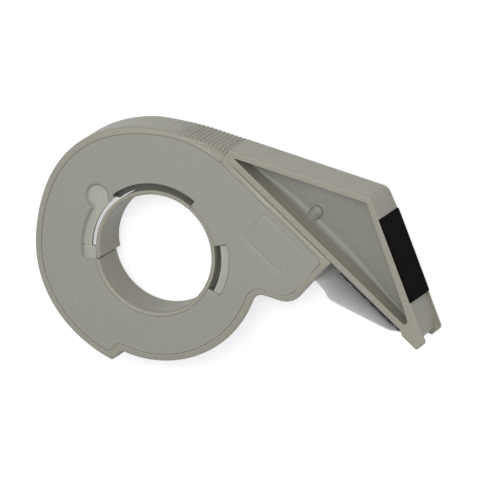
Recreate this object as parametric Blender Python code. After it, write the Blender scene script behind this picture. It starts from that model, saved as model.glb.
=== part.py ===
"""Hand-held dispenser for filament strapping tape, lying on its open loading side with the face plate up.

The plan is drawn about the hub's axis, +X toward the cutting tip, and raised along +Z. The face plate is at the
top, the open side is at the bottom. Lengths are in metres, written as millimetres times MM, and angles in degrees.
"""

import math

import bmesh
import bpy
from mathutils import Vector

MM = 0.001

# Driving sizes
WIDTH = 31.0 * MM                  # from the open rim to the face
DRUM_RADIUS = 75.4 * MM            # outer wall, also the distance of the handle's top from the hub's axis
HUB_RADIUS = 37.9 * MM             # takes a core of 76.2 mm bore
HUB_WALL = 2.8 * MM
HUB_DEPTH = 25.4 * MM
FOOT_RADIUS = 64.3 * MM            # lower edge of the face, where the drum has no wall
SEAM = 0.3 * MM                    # gap between touching pieces
OVERRUN = 2.0 * MM                 # how far a cutter runs past what it cuts

# Drum wall and the rim round the face
DRUM_SWELL = 2.3 * MM              # the wall bulges toward the upper left
DRUM_DROP = 2.6 * MM               # and draws in toward its open end
WALL = 2.6 * MM
RIM_WIDTH = 4.3 * MM
RIM_THICKNESS = 3.5 * MM
RIM_ROUND = 1.8 * MM
GROOVE_ROUND = 0.6 * MM
OPEN_ROUND = 0.7 * MM
SWELL_ANGLE = 128.0
SWELL_REACH = 48.0
DROP_ANGLES = (186.0, 242.0)
WALL_END_ANGLE = 245.2
WALL_STOP_ANGLE = 243.2
NOTCH_ANGLE = 248.0
TIP_ROUND = 1.6 * MM
NOTCH_ROUND = 2.6 * MM
FOOT_ANGLES = (251.0, 334.0)

# Lobe of the face beside the tape's way out
LOBE_NECK = 8.0 * MM
LOBE_LENGTH = 23.4 * MM
LOBE_NECK_ROUND = 6.0 * MM
LOBE_ROUND = 13.0 * MM
LOBE_ANGLES = (-14.6, 45.8)

# Handle
TOP_ANGLE = -15.2                  # the way its top, front and underside run, going round clockwise
FRONT_ANGLE = -71.2
LOWER_ANGLE = 136.9
HANDLE_TOP = 120.6 * MM            # from where the top leaves the drum to the front corner
HANDLE_FRONT = 91.0 * MM
TIP_WIDTH = 7.7 * MM
TIP_ANGLE = 219.0
HANDLE_START = 31.0 * MM           # where the handle begins along its top
CORNER_ROUND = 7.0 * MM
EAR_ROUNDS = (2.2 * MM, 1.6 * MM)
EAR_DROP = 2.0 * MM               # how far the ears stand below the underside
EAR_LENGTH = 11.0 * MM
EAR_RAMP = 1.2 * MM
TOP_WALL = 4.3 * MM
LOWER_WALL = 3.6 * MM
FRONT_WALLS = (2.8 * MM, 5.6 * MM)
POCKET_ROUNDS = (1.0 * MM, 2.6 * MM, 4.5 * MM)
HANDLE_ROUND = 1.1 * MM
POCKET_DEPTH = 12.4 * MM
WEB = 2.4 * MM

# Boss on the web
BOSS_RADIUS = 4.2 * MM
BOSS_LENGTH = 13.0 * MM
BOSS_HEIGHT = 2.6 * MM
BOSS_PLACE = 98.0 * MM             # from the tip, along the underside

# Grip ribs across the top
RIB_PITCH = 2.6 * MM
RIB_HEIGHT = 0.55 * MM
RIB_COUNT = 20
RIB_MARGIN = 0.5 * MM
RIB_SHARES = ((0.0, 0.0), (0.22, 0.75), (0.5, 1.0), (0.78, 0.75))

# Face plate, its slots and finger scoops
PLATE = 2.9 * MM
PLATE_SINK = 0.2 * MM
PLATE_ROUND = 0.35 * MM
SLOT_WIDTH = 4.1 * MM
SLOT_ANGLES = (50.5, 126.0)
LEFT_GAP = 2.1 * MM
LEFT_ANGLES = (126.0, 187.8)
RIGHT_GAP = 3.4 * MM
RIGHT_ANGLES = (-31.0, 9.0)
SCOOP_WIDTH = 8.3 * MM
SCOOP_DEPTH = 1.9 * MM
SCOOP_EDGE = 0.3 * MM
HEAD_RADIUS = 7.8 * MM
HEAD_DISTANCE = 8.4 * MM
HEAD_ANGLE = 136.5
HEAD_DEPTH = 1.3 * MM
LABEL_SIZE = (31.0 * MM, 20.0 * MM)
LABEL_PLACE = (74.3 * MM, 9.3 * MM)
LABEL_ROUND = 3.0 * MM
LABEL_DEPTH = 0.35 * MM

# Hub
HUB_ROUND = 1.1 * MM
FINGER_ANGLES = (50.0, 187.0)
FINGER_GAP = 0.35 * MM
FINGER_END_GAP = 1.5 * MM
FINGER_INSETS = (1.3 * MM, 2.8 * MM)
FINGER_LIP = 0.7 * MM
FINGER_LIP_DEPTH = 1.6 * MM
FINGER_LIP_ANGLES = (140.0, 182.0)

# Cutting tip
EAR = 3.4 * MM
TIP_SINK = 0.15 * MM
FACE_RECESSES = (1.0 * MM, 3.0 * MM)
WEDGE_BACK = 4.6 * MM
BLADE = 0.8 * MM
BLADE_PLACE = 3.4 * MM             # from the tip, along the underside
BLADE_LENGTH = 9.0 * MM
TOOTH_PITCH = 1.6 * MM
TOOTH_DEPTH = 1.3 * MM
RIVET_RADIUS = 1.2 * MM
RIVET_HEAD = 2.2 * MM
RIVET_HEAD_HEIGHT = 0.7 * MM
RIVET_DEPTH = 1.4 * MM
RIVET_SPREAD = 13.0 * MM
RIVET_BACK = 9.2 * MM

# Bowed spring under the handle that the tape rides on, and its flat foot under the blade
SPRING = 0.5 * MM
SPRING_LENGTH = 51.2 * MM
SPRING_CURL = 16.0 * MM
SPRING_ANGLES = (156.2, 115.0)
SPRING_ROUND = 21.0 * MM
SPRING_LOW = 2.0 * MM
FOOT_PLACE = 6.0 * MM
FOOT_LENGTH = 6.6 * MM

# Pad on the front and the strip under the handle
PAD_PLACE = 15.0 * MM              # from the front corner
PAD_LENGTH = 51.8 * MM
PAD_MARGIN = 1.5 * MM
PAD = 2.0 * MM
PAD_BACKING = 0.5 * MM
PAD_ROUND = 0.6 * MM
STRIP = 0.8 * MM
STRIP_LENGTH = 50.0 * MM
STRIP_PLACE = 12.8 * MM
STRIP_MARGIN = 1.0 * MM

# Fineness of round shapes
ARC_STEP = 5.0
FILLET_STEPS = 4
ROUND_STEPS = 3
CIRCLE_STEPS = 24

HUB = (0.0, 0.0)
FACE = WIDTH

PUTTY = (0.297, 0.290, 0.246, 1.0)
PUTTY_PLATE = (0.283, 0.283, 0.246, 1.0)
PUTTY_WEB = (0.230, 0.230, 0.205, 1.0)
FOAM = (0.009, 0.007, 0.008, 1.0)
RUBBER = (0.006, 0.006, 0.006, 1.0)
GALVANISED = (0.462, 0.462, 0.456, 1.0)
STEEL = (0.400, 0.400, 0.390, 1.0)


def way(angle):
    """The unit vector that points along an angle."""
    turn = math.radians(angle)
    return math.cos(turn), math.sin(turn)


def step(point, angle, length):
    """A point moved by a length along an angle."""
    x, y = way(angle)
    return point[0] + x * length, point[1] + y * length


def polar(radius, angle):
    """A point at a radius and an angle about the hub."""
    return step(HUB, angle, radius)


def meet(first, first_angle, second, second_angle):
    """Where two lines cross, each given by a point and an angle."""
    ax, ay = way(first_angle)
    bx, by = way(second_angle)
    across = ax * by - ay * bx
    along = ((second[0] - first[0]) * by - (second[1] - first[1]) * bx) / across
    return first[0] + ax * along, first[1] + ay * along


def between(low, high, most):
    """Angles from low to high in even steps no wider than most."""
    count = max(1, math.ceil(abs(high - low) / most - 1e-9))
    return [low + (high - low) * i / count for i in range(count + 1)]


def smooth(share):
    """An even start and stop between 0 and 1."""
    held = min(1.0, max(0.0, share))
    return held * held * (3 - 2 * held)


def rounded(corners):
    """A closed outline from corners, each a point and a fillet radius, with zero for a plain point."""
    outline = []
    count = len(corners)
    for i, (point, radius) in enumerate(corners):
        here = Vector(point)
        if radius <= 0:
            outline.append(tuple(here))
            continue
        back = (Vector(corners[i - 1][0]) - here).normalized()
        ahead = (Vector(corners[(i + 1) % count][0]) - here).normalized()
        half = back.angle(ahead) / 2
        centre = here + (back + ahead).normalized() * (radius / math.sin(half))
        start = here + back * (radius / math.tan(half)) - centre
        turn = start.angle_signed(here + ahead * (radius / math.tan(half)) - centre)
        for j in range(FILLET_STEPS + 1):
            angle = -turn * j / FILLET_STEPS
            x = start.x * math.cos(angle) - start.y * math.sin(angle)
            y = start.x * math.sin(angle) + start.y * math.cos(angle)
            outline.append((centre.x + x, centre.y + y))
    return outline


def inset(outline, distance):
    """A closed outline moved to its left, which is into the material, by a distance."""
    count = len(outline)
    moved = []
    for i, point in enumerate(outline):
        here = Vector(point)
        back = (here - Vector(outline[i - 1])).normalized()
        ahead = (Vector(outline[(i + 1) % count]) - here).normalized()
        left_back = Vector((-back.y, back.x))
        left_ahead = Vector((-ahead.y, ahead.x))
        mitre = (left_back + left_ahead) / (1 + left_back.dot(left_ahead))
        moved.append(tuple(here + mitre * distance))
    return moved


def levels(low, high, low_round, high_round):
    """Heights and insets of a wall with rounded lower and upper edges."""
    rows = []
    turns = [math.pi / 2 * i / ROUND_STEPS for i in range(ROUND_STEPS + 1)]
    if low_round > 0:
        rows += [(low + low_round * (1 - math.cos(t)), low_round * (1 - math.sin(t))) for t in turns]
    else:
        rows.append((low, 0.0))
    if high_round > 0:
        turns.reverse()
        rows += [(high - high_round * (1 - math.cos(t)), high_round * (1 - math.sin(t))) for t in turns]
    else:
        rows.append((high, 0.0))
    return rows


def add_object(name, mesh_builder, smooth_angle=35.0):
    """A new object from a filled bmesh, facing out."""
    mesh = bpy.data.meshes.new(name)
    bmesh.ops.recalc_face_normals(mesh_builder, faces=mesh_builder.faces)
    mesh_builder.to_mesh(mesh)
    mesh_builder.free()
    mesh.shade_smooth()
    mesh.set_sharp_from_angle(angle=math.radians(smooth_angle))
    thing = bpy.data.objects.new(name, mesh)
    bpy.context.scene.collection.objects.link(thing)
    return thing


def prism(name, outlines, rows):
    """A solid raised from closed outlines, the first round the material and any others round its holes.

    rows gives a height and an inset for each level.
    """
    builder = bmesh.new()
    stack = []
    for height, distance in rows:
        layer = []
        for outline in outlines:
            moved = inset(outline, distance)
            layer.append([builder.verts.new((x, y, height)) for x, y in moved])
        stack.append(layer)
    for lower, upper in zip(stack, stack[1:]):
        for low_ring, high_ring in zip(lower, upper):
            for i in range(len(low_ring)):
                j = (i + 1) % len(low_ring)
                builder.faces.new((low_ring[i], low_ring[j], high_ring[j], high_ring[i]))
    for layer in (stack[0], stack[-1]):
        edges = []
        for ring in layer:
            for i in range(len(ring)):
                pair = (ring[i], ring[(i + 1) % len(ring)])
                edges.append(builder.edges.get(pair) or builder.edges.new(pair))
        bmesh.ops.triangle_fill(builder, use_beauty=True, edges=edges)
    return add_object(name, builder)


def sector(name, rings):
    """A solid swept round the hub, from a list of closed sections that hold as many points each."""
    builder = bmesh.new()
    stack = [[builder.verts.new(point) for point in ring] for ring in rings]
    for near, far in zip(stack, stack[1:]):
        for i in range(len(near)):
            j = (i + 1) % len(near)
            builder.faces.new((near[i], near[j], far[j], far[i]))
    builder.faces.new(stack[0])
    builder.faces.new(stack[-1])
    return add_object(name, builder)


def turned(section, angle):
    """A section of radius and height pairs, stood at an angle about the hub."""
    return [(*polar(radius, angle), height) for radius, height in section]


def rod(name, place, axis, radii, heights):
    """A stepped round bar along a level axis angle, from its place outward."""
    along = Vector((*way(axis), 0.0))
    side = Vector((-along.y, along.x, 0.0))
    builder = bmesh.new()
    stack = []
    for radius, height in zip(radii, heights):
        ring = []
        for i in range(CIRCLE_STEPS):
            turn = 2 * math.pi * i / CIRCLE_STEPS
            offset = side * (radius * math.cos(turn)) + Vector((0, 0, radius * math.sin(turn)))
            ring.append(builder.verts.new(Vector(place) + along * height + offset))
        stack.append(ring)
    for near, far in zip(stack, stack[1:]):
        for i in range(CIRCLE_STEPS):
            j = (i + 1) % CIRCLE_STEPS
            builder.faces.new((near[i], near[j], far[j], far[i]))
    builder.faces.new(stack[0])
    builder.faces.new(stack[-1])
    return add_object(name, builder)


def change(target, tool, operation):
    """Cuts a target with a tool, or joins the tool to it, and hides the tool."""
    modifier = target.modifiers.new(tool.name, "BOOLEAN")
    modifier.operation = operation
    modifier.solver = "EXACT"
    modifier.object = tool
    tool.hide_render = True
    tool.display_type = "WIRE"


def finish(thing, colour, roughness, metallic=0.0):
    """Gives a piece its own material."""
    material = bpy.data.materials.new(thing.name)
    material.use_nodes = True
    shader = material.node_tree.nodes["Principled BSDF"]
    shader.inputs["Base Color"].default_value = colour
    shader.inputs["Roughness"].default_value = roughness
    shader.inputs["Metallic"].default_value = metallic
    thing.data.materials.clear()
    thing.data.materials.append(material)
    return thing


def drum_radius(angle):
    """Outer radius of the drum wall: round, with a swell and a draw-in toward its open end."""
    swell = 0.0
    if abs(angle - SWELL_ANGLE) < SWELL_REACH:
        swell = DRUM_SWELL * (1 + math.cos(math.pi * (angle - SWELL_ANGLE) / SWELL_REACH)) / 2
    drop = DRUM_DROP * smooth((angle - DROP_ANGLES[0]) / (DROP_ANGLES[1] - DROP_ANGLES[0]))
    return DRUM_RADIUS + swell - drop


# Corner points of the handle, which the drum's outline meets
TOP_START_ANGLE = TOP_ANGLE + 90
TOP_START = polar(DRUM_RADIUS, TOP_START_ANGLE)
FRONT_CORNER = step(TOP_START, TOP_ANGLE, HANDLE_TOP)
EAR_FRONT = step(FRONT_CORNER, FRONT_ANGLE, HANDLE_FRONT)
EAR_BACK = step(EAR_FRONT, TIP_ANGLE, TIP_WIDTH)
HANDLE_CORNER = step(TOP_START, TOP_ANGLE, HANDLE_START)
LOWER_NORMAL = LOWER_ANGLE - 90


def under(distance, depth):
    """A point a distance up the handle's underside from the tip, and a depth into its wall."""
    return step(step(EAR_BACK, LOWER_ANGLE, distance), LOWER_NORMAL, EAR_DROP + depth)


def front(distance, depth):
    """A point a distance down the handle's front from its corner, and a depth into its wall."""
    return step(step(FRONT_CORNER, FRONT_ANGLE, distance), FRONT_ANGLE - 90, depth)


BLADE_TOP = TIP_SINK - SEAM
HANDLE_ROOT = meet(HANDLE_CORNER, TOP_START_ANGLE, under(0.0, 0.0), LOWER_ANGLE)


def lobe_corners(edge, far_point, far_angle):
    """The lower edge and the lobe, inset by an edge width, up to a line that closes the lobe."""
    foot = FOOT_RADIUS - edge
    corners = [(polar(foot, angle), 0.0) for angle in between(*FOOT_ANGLES, ARC_STEP)]
    leave = FOOT_ANGLES[1] + 90
    outer_neck = step(polar(FOOT_RADIUS, FOOT_ANGLES[1]), leave, LOBE_NECK)
    outer_lobe = step(outer_neck, LOBE_ANGLES[0], LOBE_LENGTH)
    on_neck = step(outer_neck, LOBE_ANGLES[0] + 90, edge)
    on_side = step(outer_lobe, LOBE_ANGLES[1] + 90, edge)
    neck = meet(polar(foot, FOOT_ANGLES[1]), leave, on_neck, LOBE_ANGLES[0])
    lobe = meet(on_neck, LOBE_ANGLES[0], on_side, LOBE_ANGLES[1])
    corners.append((neck, LOBE_NECK_ROUND + edge))
    corners.append((lobe, LOBE_ROUND - edge))
    corners.append((meet(on_side, LOBE_ANGLES[1], far_point, far_angle), 0.0))
    return corners


def wall_end(edge):
    """The drum wall's open end and the notch beside it, inset by an edge width."""
    shift = math.degrees(edge / DRUM_RADIUS)
    tip = polar(drum_radius(WALL_END_ANGLE) - edge, WALL_END_ANGLE - shift)
    notch = polar(FOOT_RADIUS - edge, NOTCH_ANGLE - shift)
    return [(tip, TIP_ROUND), (notch, NOTCH_ROUND)]


def ribbed_top():
    """The drum's top from the handle's start back over the grip ribs, as far as the last rib."""
    points = []
    straight = HANDLE_START - SEAM
    for i in range(RIB_COUNT):
        for place, lift in RIB_SHARES:
            distance = RIB_MARGIN + (i + place) * RIB_PITCH
            raised = RIB_HEIGHT * (lift - 1)
            if distance < straight:
                base = step(TOP_START, TOP_ANGLE, straight - distance)
                points.append((step(base, TOP_START_ANGLE, raised), 0.0))
            else:
                angle = TOP_START_ANGLE + math.degrees((distance - straight) / DRUM_RADIUS)
                points.append((polar(drum_radius(angle) + raised, angle), 0.0))
    last = TOP_START_ANGLE + math.degrees((RIB_MARGIN + RIB_COUNT * RIB_PITCH - straight) / DRUM_RADIUS)
    return points, last


def drum_outline():
    """The drum seen on its face: lower edge, lobe, the handle's underside, the ribbed top and the wall."""
    line = under(0.0, -SEAM)
    corners = lobe_corners(0.0, line, LOWER_ANGLE)
    start = step(HANDLE_CORNER, TOP_ANGLE, -SEAM)
    corners.append((meet(start, TOP_START_ANGLE, line, LOWER_ANGLE), 0.0))
    corners.append((start, 0.0))
    ribs, last = ribbed_top()
    corners += ribs
    for angle in between(last, WALL_END_ANGLE - ARC_STEP / 2, ARC_STEP):
        corners.append((polar(drum_radius(angle), angle), 0.0))
    return rounded(corners + wall_end(0.0))


def face_outline(edge):
    """The face plate's edge, inset from the drum's outline by an edge width."""
    tangent = polar(DRUM_RADIUS - edge, LOWER_NORMAL)
    corners = lobe_corners(edge, tangent, LOWER_ANGLE)
    for angle in between(LOWER_NORMAL, WALL_END_ANGLE - 2 * ARC_STEP, ARC_STEP):
        corners.append((polar(drum_radius(angle) - edge, angle), 0.0))
    return rounded(corners + wall_end(edge))


def make_drum_frame():
    """The drum wall with the rim round the face, open below and along its lower edge."""
    body = prism("drum_frame", [drum_outline()], levels(0.0, FACE, OPEN_ROUND, RIM_ROUND))
    ring = [polar(drum_radius(a) - WALL, a) for a in between(WALL_STOP_ANGLE, TOP_START_ANGLE, ARC_STEP)]
    stop = math.degrees(math.atan2(HANDLE_ROOT[1], HANDLE_ROOT[0])) + math.degrees(OVERRUN / DRUM_RADIUS)
    ring += [polar(DRUM_RADIUS - WALL, a) for a in between(TOP_START_ANGLE, stop, ARC_STEP)[1:]]
    beyond = DRUM_RADIUS + OVERRUN
    reach = EAR_FRONT[0]
    around = [polar(beyond, stop), (reach, beyond * way(stop)[1]), (reach, -beyond)]
    around += [(-beyond, -beyond), polar(beyond + OVERRUN, WALL_STOP_ANGLE)]
    outline = list(reversed(ring + around))
    cavity = prism("drum_cavity", [outline], levels(-OVERRUN, FACE - RIM_THICKNESS, 0.0, 0.0))
    change(body, cavity, "DIFFERENCE")
    rows = [(FACE - RIM_THICKNESS - OVERRUN, 0.0)]
    for i in range(ROUND_STEPS + 1):
        turn = math.pi / 2 * i / ROUND_STEPS
        height = FACE - GROOVE_ROUND * (1 - math.sin(turn))
        rows.append((height, -GROOVE_ROUND * (1 - math.cos(turn))))
    rows.append((FACE + OVERRUN, -GROOVE_ROUND))
    window = prism("drum_window", [face_outline(RIM_WIDTH)], rows)
    change(body, window, "DIFFERENCE")
    return finish(body, PUTTY, 0.42)


def scoop(name, angles, gap):
    """A cutter for a finger scoop, whose floor slopes down toward the hub."""
    near = HUB_RADIUS - OVERRUN
    top = FACE + OVERRUN
    brink = FACE - PLATE_SINK - SCOOP_EDGE
    floor = FACE - PLATE_SINK - SCOOP_DEPTH
    wide = HUB_RADIUS + SCOOP_WIDTH
    section = [(near, floor), (HUB_RADIUS + gap, floor), (wide, brink), (wide, top), (near, top)]
    return sector(name, [turned(section, angle) for angle in between(*angles, ARC_STEP)])


def hub_opening():
    """The hole of the face plate round the hub, with its slots, run clockwise."""
    stretches = [(SLOT_ANGLES, SLOT_WIDTH), (LEFT_ANGLES, LEFT_GAP)]
    stretches.append(((LEFT_ANGLES[1], RIGHT_ANGLES[0] + 360), SEAM))
    stretches.append(((RIGHT_ANGLES[0] + 360, RIGHT_ANGLES[1] + 360), RIGHT_GAP))
    stretches.append(((RIGHT_ANGLES[1] + 360, SLOT_ANGLES[0] + 360), SEAM))
    outline = []
    for angles, gap in stretches:
        outline += [polar(HUB_RADIUS + gap, angle) for angle in between(*angles, ARC_STEP)]
    outline.reverse()
    return outline


def make_side_plate():
    """The textured face plate, with the slots and scoops round the hub and a bare label recess."""
    top = FACE - PLATE_SINK
    rows = levels(top - PLATE, top, 0.0, PLATE_ROUND)
    plate = prism("side_plate", [face_outline(RIM_WIDTH + SEAM), hub_opening()], rows)
    change(plate, scoop("left_scoop", LEFT_ANGLES, LEFT_GAP), "DIFFERENCE")
    change(plate, scoop("right_scoop", RIGHT_ANGLES, RIGHT_GAP), "DIFFERENCE")
    head_place = polar(HUB_RADIUS + HEAD_DISTANCE, HEAD_ANGLE)
    circle = [step(head_place, 360 * i / CIRCLE_STEPS, HEAD_RADIUS) for i in range(CIRCLE_STEPS)]
    head = prism("scoop_head", [circle], levels(top - HEAD_DEPTH, FACE + OVERRUN, HEAD_DEPTH / 2, 0.0))
    change(plate, head, "DIFFERENCE")
    corners = []
    for along, across in ((-1, -1), (1, -1), (1, 1), (-1, 1)):
        side = step(LABEL_PLACE, LOWER_ANGLE + 180, along * LABEL_SIZE[0] / 2)
        corners.append((step(side, LOWER_NORMAL, across * LABEL_SIZE[1] / 2), LABEL_ROUND))
    recess = prism("label_recess", [rounded(corners)], levels(top - LABEL_DEPTH, FACE + OVERRUN, 0.0, 0.0))
    change(plate, recess, "DIFFERENCE")
    return finish(plate, PUTTY_PLATE, 0.55)


def hub_section(shift_low, shift_high, lip):
    """A hub wall section with a rounded rim, moved inward by a shift at each end and with a lip below."""
    low = FACE - HUB_DEPTH
    outer = HUB_RADIUS
    inner = HUB_RADIUS - HUB_WALL
    small = HUB_ROUND / 3
    points = [(inner, low, 0), (outer + lip, low, 0), (outer + lip, low + FINGER_LIP_DEPTH / 2, 0)]
    points += [(outer, low + FINGER_LIP_DEPTH, 0), (outer, FACE - small, 1), (outer - small, FACE, 1)]
    for i in range(ROUND_STEPS + 1):
        turn = math.pi / 2 * i / ROUND_STEPS
        across = inner + HUB_ROUND * (1 - math.sin(turn))
        points.append((across, FACE - HUB_ROUND * (1 - math.cos(turn)), 1))
    section = []
    for radius, height, _ in points:
        share = (height - low) / HUB_DEPTH
        section.append((radius - shift_low * (1 - share) - shift_high * share, height))
    return section


def make_hub_ring():
    """The fixed part of the hub, which carries the tape core."""
    start = FINGER_ANGLES[1] + math.degrees(FINGER_END_GAP / HUB_RADIUS) / 2
    stop = FINGER_ANGLES[0] + 360 - math.degrees(FINGER_GAP / HUB_RADIUS) / 2
    section = hub_section(0.0, 0.0, 0.0)
    ring = sector("hub_ring", [turned(section, angle) for angle in between(start, stop, ARC_STEP)])
    return finish(ring, PUTTY, 0.40)


def make_hub_finger():
    """The springy finger of the hub, rooted at its upper right end and drawn in toward its free end."""
    start = FINGER_ANGLES[0] + math.degrees(FINGER_GAP / HUB_RADIUS) / 2
    stop = FINGER_ANGLES[1] - math.degrees(FINGER_END_GAP / HUB_RADIUS) / 2
    rings = []
    for angle in between(start, stop, ARC_STEP):
        share = ((angle - start) / (stop - start)) ** 2
        reach = (angle - FINGER_LIP_ANGLES[0]) / (FINGER_LIP_ANGLES[1] - FINGER_LIP_ANGLES[0])
        lip = FINGER_LIP * smooth(4 * reach) * smooth(4 * (1 - reach))
        section = hub_section(FINGER_INSETS[1] * share, FINGER_INSETS[0] * share, lip)
        rings.append(turned(section, angle))
    return finish(sector("hub_finger", rings), PUTTY, 0.40)


def pocket_outline(clearance):
    """The triangular pocket of the handle, drawn in by a clearance and run anticlockwise."""
    on_top = step(TOP_START, TOP_START_ANGLE, -TOP_WALL - clearance)
    on_lower = under(0.0, LOWER_WALL + clearance)
    high = front(0.0, FRONT_WALLS[0] + clearance)
    low = front(HANDLE_FRONT, FRONT_WALLS[1] + clearance)
    front_angle = math.degrees(math.atan2(low[1] - high[1], low[0] - high[0]))
    apex = meet(on_top, TOP_ANGLE, on_lower, LOWER_ANGLE)
    toe = meet(on_lower, LOWER_ANGLE, high, front_angle)
    crown = meet(high, front_angle, on_top, TOP_ANGLE)
    return rounded(list(zip((apex, toe, crown), POCKET_ROUNDS)))


def make_handle_frame():
    """The handle's three walls with the two ears of the cutting tip."""
    corners = [(HANDLE_ROOT, 0.0), (under(EAR_LENGTH + EAR_RAMP, 0.0), 0.0)]
    corners += [(under(EAR_LENGTH, -EAR_DROP), 0.0), (EAR_BACK, EAR_ROUNDS[1]), (EAR_FRONT, EAR_ROUNDS[0])]
    corners += [(FRONT_CORNER, CORNER_ROUND), (HANDLE_CORNER, 0.0)]
    pocket = list(reversed(pocket_outline(0.0)))
    rows = levels(0.0, FACE, HANDLE_ROUND, HANDLE_ROUND)
    handle = prism("handle_frame", [rounded(corners), pocket], rows)
    pad_end = PAD_PLACE + PAD_LENGTH + SEAM
    seat = [front(PAD_PLACE - SEAM, FACE_RECESSES[0]), front(PAD_PLACE - SEAM, -OVERRUN)]
    seat += [front(pad_end, -OVERRUN), front(pad_end, FACE_RECESSES[0])]
    seat_rows = levels(PAD_MARGIN - SEAM, WIDTH - PAD_MARGIN + SEAM, 0.0, 0.0)
    change(handle, prism("pad_seat", [seat], seat_rows), "DIFFERENCE")
    beyond = front(HANDLE_FRONT + OVERRUN, -OVERRUN)
    wedge = front(HANDLE_FRONT - WEDGE_BACK, FACE_RECESSES[1])
    ceiling = meet(wedge, TIP_ANGLE, under(0.0, TIP_SINK), LOWER_ANGLE)
    over = EAR_LENGTH + EAR_RAMP + SEAM
    notch = [front(pad_end - SEAM, FACE_RECESSES[0]), wedge, ceiling]
    notch += [under(over, TIP_SINK), under(over, -EAR_DROP - OVERRUN)]
    notch += [under(-OVERRUN, -EAR_DROP - OVERRUN), beyond, front(pad_end - SEAM, -OVERRUN)]
    notch.reverse()
    change(handle, prism("tip_notch", [notch], levels(EAR, WIDTH - EAR, 0.0, 0.0)), "DIFFERENCE")
    for i, height in enumerate(rivet_heights()):
        place = under(RIVET_BACK, 0.0)
        depths = (-OVERRUN, RIVET_DEPTH + SEAM)
        radii = (RIVET_RADIUS + SEAM, RIVET_RADIUS + SEAM)
        hole = rod("rivet_hole_%d" % (i + 1), (*place, height), LOWER_NORMAL, radii, depths)
        change(handle, hole, "DIFFERENCE")
    return finish(handle, PUTTY, 0.42)


def make_handle_web():
    """The web that closes the handle halfway down, with its half-round boss."""
    top = FACE - POCKET_DEPTH
    web = prism("handle_web", [pocket_outline(SEAM)], levels(top - WEB, top, 0.0, 0.0))
    base = under(BOSS_PLACE, LOWER_WALL + HANDLE_ROUND)
    outline = []
    for i in range(CIRCLE_STEPS // 2 + 1):
        turn = LOWER_NORMAL - 90 + 180 * i / (CIRCLE_STEPS // 2)
        outline.append(step(step(base, LOWER_NORMAL, BOSS_LENGTH), turn, BOSS_RADIUS))
    outline += [step(base, LOWER_NORMAL + 90, BOSS_RADIUS), step(base, LOWER_NORMAL - 90, BOSS_RADIUS)]
    boss = prism("web_boss", [outline], levels(top - WEB / 2, top + BOSS_HEIGHT, 0.0, BOSS_HEIGHT * 0.8))
    change(web, boss, "UNION")
    return finish(web, PUTTY_WEB, 0.48)


def rivet_heights():
    """The heights of the two rivets, even about the middle of the width."""
    return (WIDTH - RIVET_SPREAD) / 2, (WIDTH + RIVET_SPREAD) / 2


def bored(name, piece, top):
    """Bores the rivet holes through a plate whose upper side is at a depth of the underside."""
    for i, height in enumerate(rivet_heights()):
        radii = (RIVET_RADIUS + SEAM, RIVET_RADIUS + SEAM)
        place = (*under(RIVET_BACK, 0.0), height)
        hole = rod("%s_hole_%d" % (name, i + 1), place, LOWER_NORMAL, radii, (top - OVERRUN, top + OVERRUN))
        change(piece, hole, "DIFFERENCE")
    return piece


def make_cutter_blade():
    """The flat blade between the ears, with its row of teeth toward the tip."""
    low = EAR + SEAM
    high = WIDTH - EAR - SEAM
    builder = bmesh.new()
    count = round((high - low) / TOOTH_PITCH)
    pitch = (high - low) / count
    back = BLADE_PLACE + BLADE_LENGTH
    edge = [(back, low)]
    edge += [(BLADE_PLACE + TOOTH_DEPTH * ((i + 1) % 2), low + pitch * i / 2) for i in range(2 * count + 1)]
    edge.append((back, high))
    stack = []
    for depth in (BLADE_TOP, BLADE_TOP - BLADE):
        stack.append([builder.verts.new((*under(along, depth), height)) for along, height in edge])
    for i in range(len(edge)):
        j = (i + 1) % len(edge)
        builder.faces.new((stack[0][i], stack[0][j], stack[1][j], stack[1][i]))
    for ring in stack:
        edges = [builder.edges.get((ring[i], ring[(i + 1) % len(ring)])) for i in range(len(ring))]
        bmesh.ops.triangle_fill(builder, use_beauty=True, edges=edges)
    blade = bored("blade", add_object("cutter_blade", builder), BLADE_TOP)
    return finish(blade, STEEL, 0.30, 1.0)


def make_spring_foot():
    """The flat fixed end of the bowed spring's sheet, held under the blade."""
    top = BLADE_TOP - BLADE - SEAM
    outline = [under(FOOT_PLACE + FOOT_LENGTH, top), under(FOOT_PLACE + FOOT_LENGTH, top - SPRING)]
    outline += [under(FOOT_PLACE, top - SPRING), under(FOOT_PLACE, top)]
    foot = prism("spring_foot", [outline], levels(EAR + SEAM, WIDTH - EAR - SEAM, 0.0, 0.0))
    return finish(bored("foot", foot, top), GALVANISED, 0.42, 1.0)


def make_blade_rivets():
    """Two rivets through the spring's foot and the blade into the handle's underside."""
    pieces = []
    for i, height in enumerate(rivet_heights()):
        head = BLADE_TOP - BLADE - SEAM - SPRING - SEAM
        radii = (RIVET_HEAD * 0.6, RIVET_HEAD, RIVET_HEAD, RIVET_RADIUS, RIVET_RADIUS)
        crown = head - RIVET_HEAD_HEIGHT
        depths = (crown, crown + RIVET_HEAD_HEIGHT / 2, head, head, RIVET_DEPTH)
        place = (*under(RIVET_BACK, 0.0), height)
        pieces.append(rod("blade_rivet_%d" % (i + 1), place, LOWER_NORMAL, radii, depths))
    return [finish(piece, STEEL, 0.35, 1.0) for piece in pieces]


def spring_root():
    """Where the bowed spring bends away from its foot, on the axis that it flexes about."""
    middle = BLADE_TOP - BLADE - SEAM - SPRING / 2
    return under(FOOT_PLACE + FOOT_LENGTH + SEAM + SPRING / 2, middle)


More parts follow.
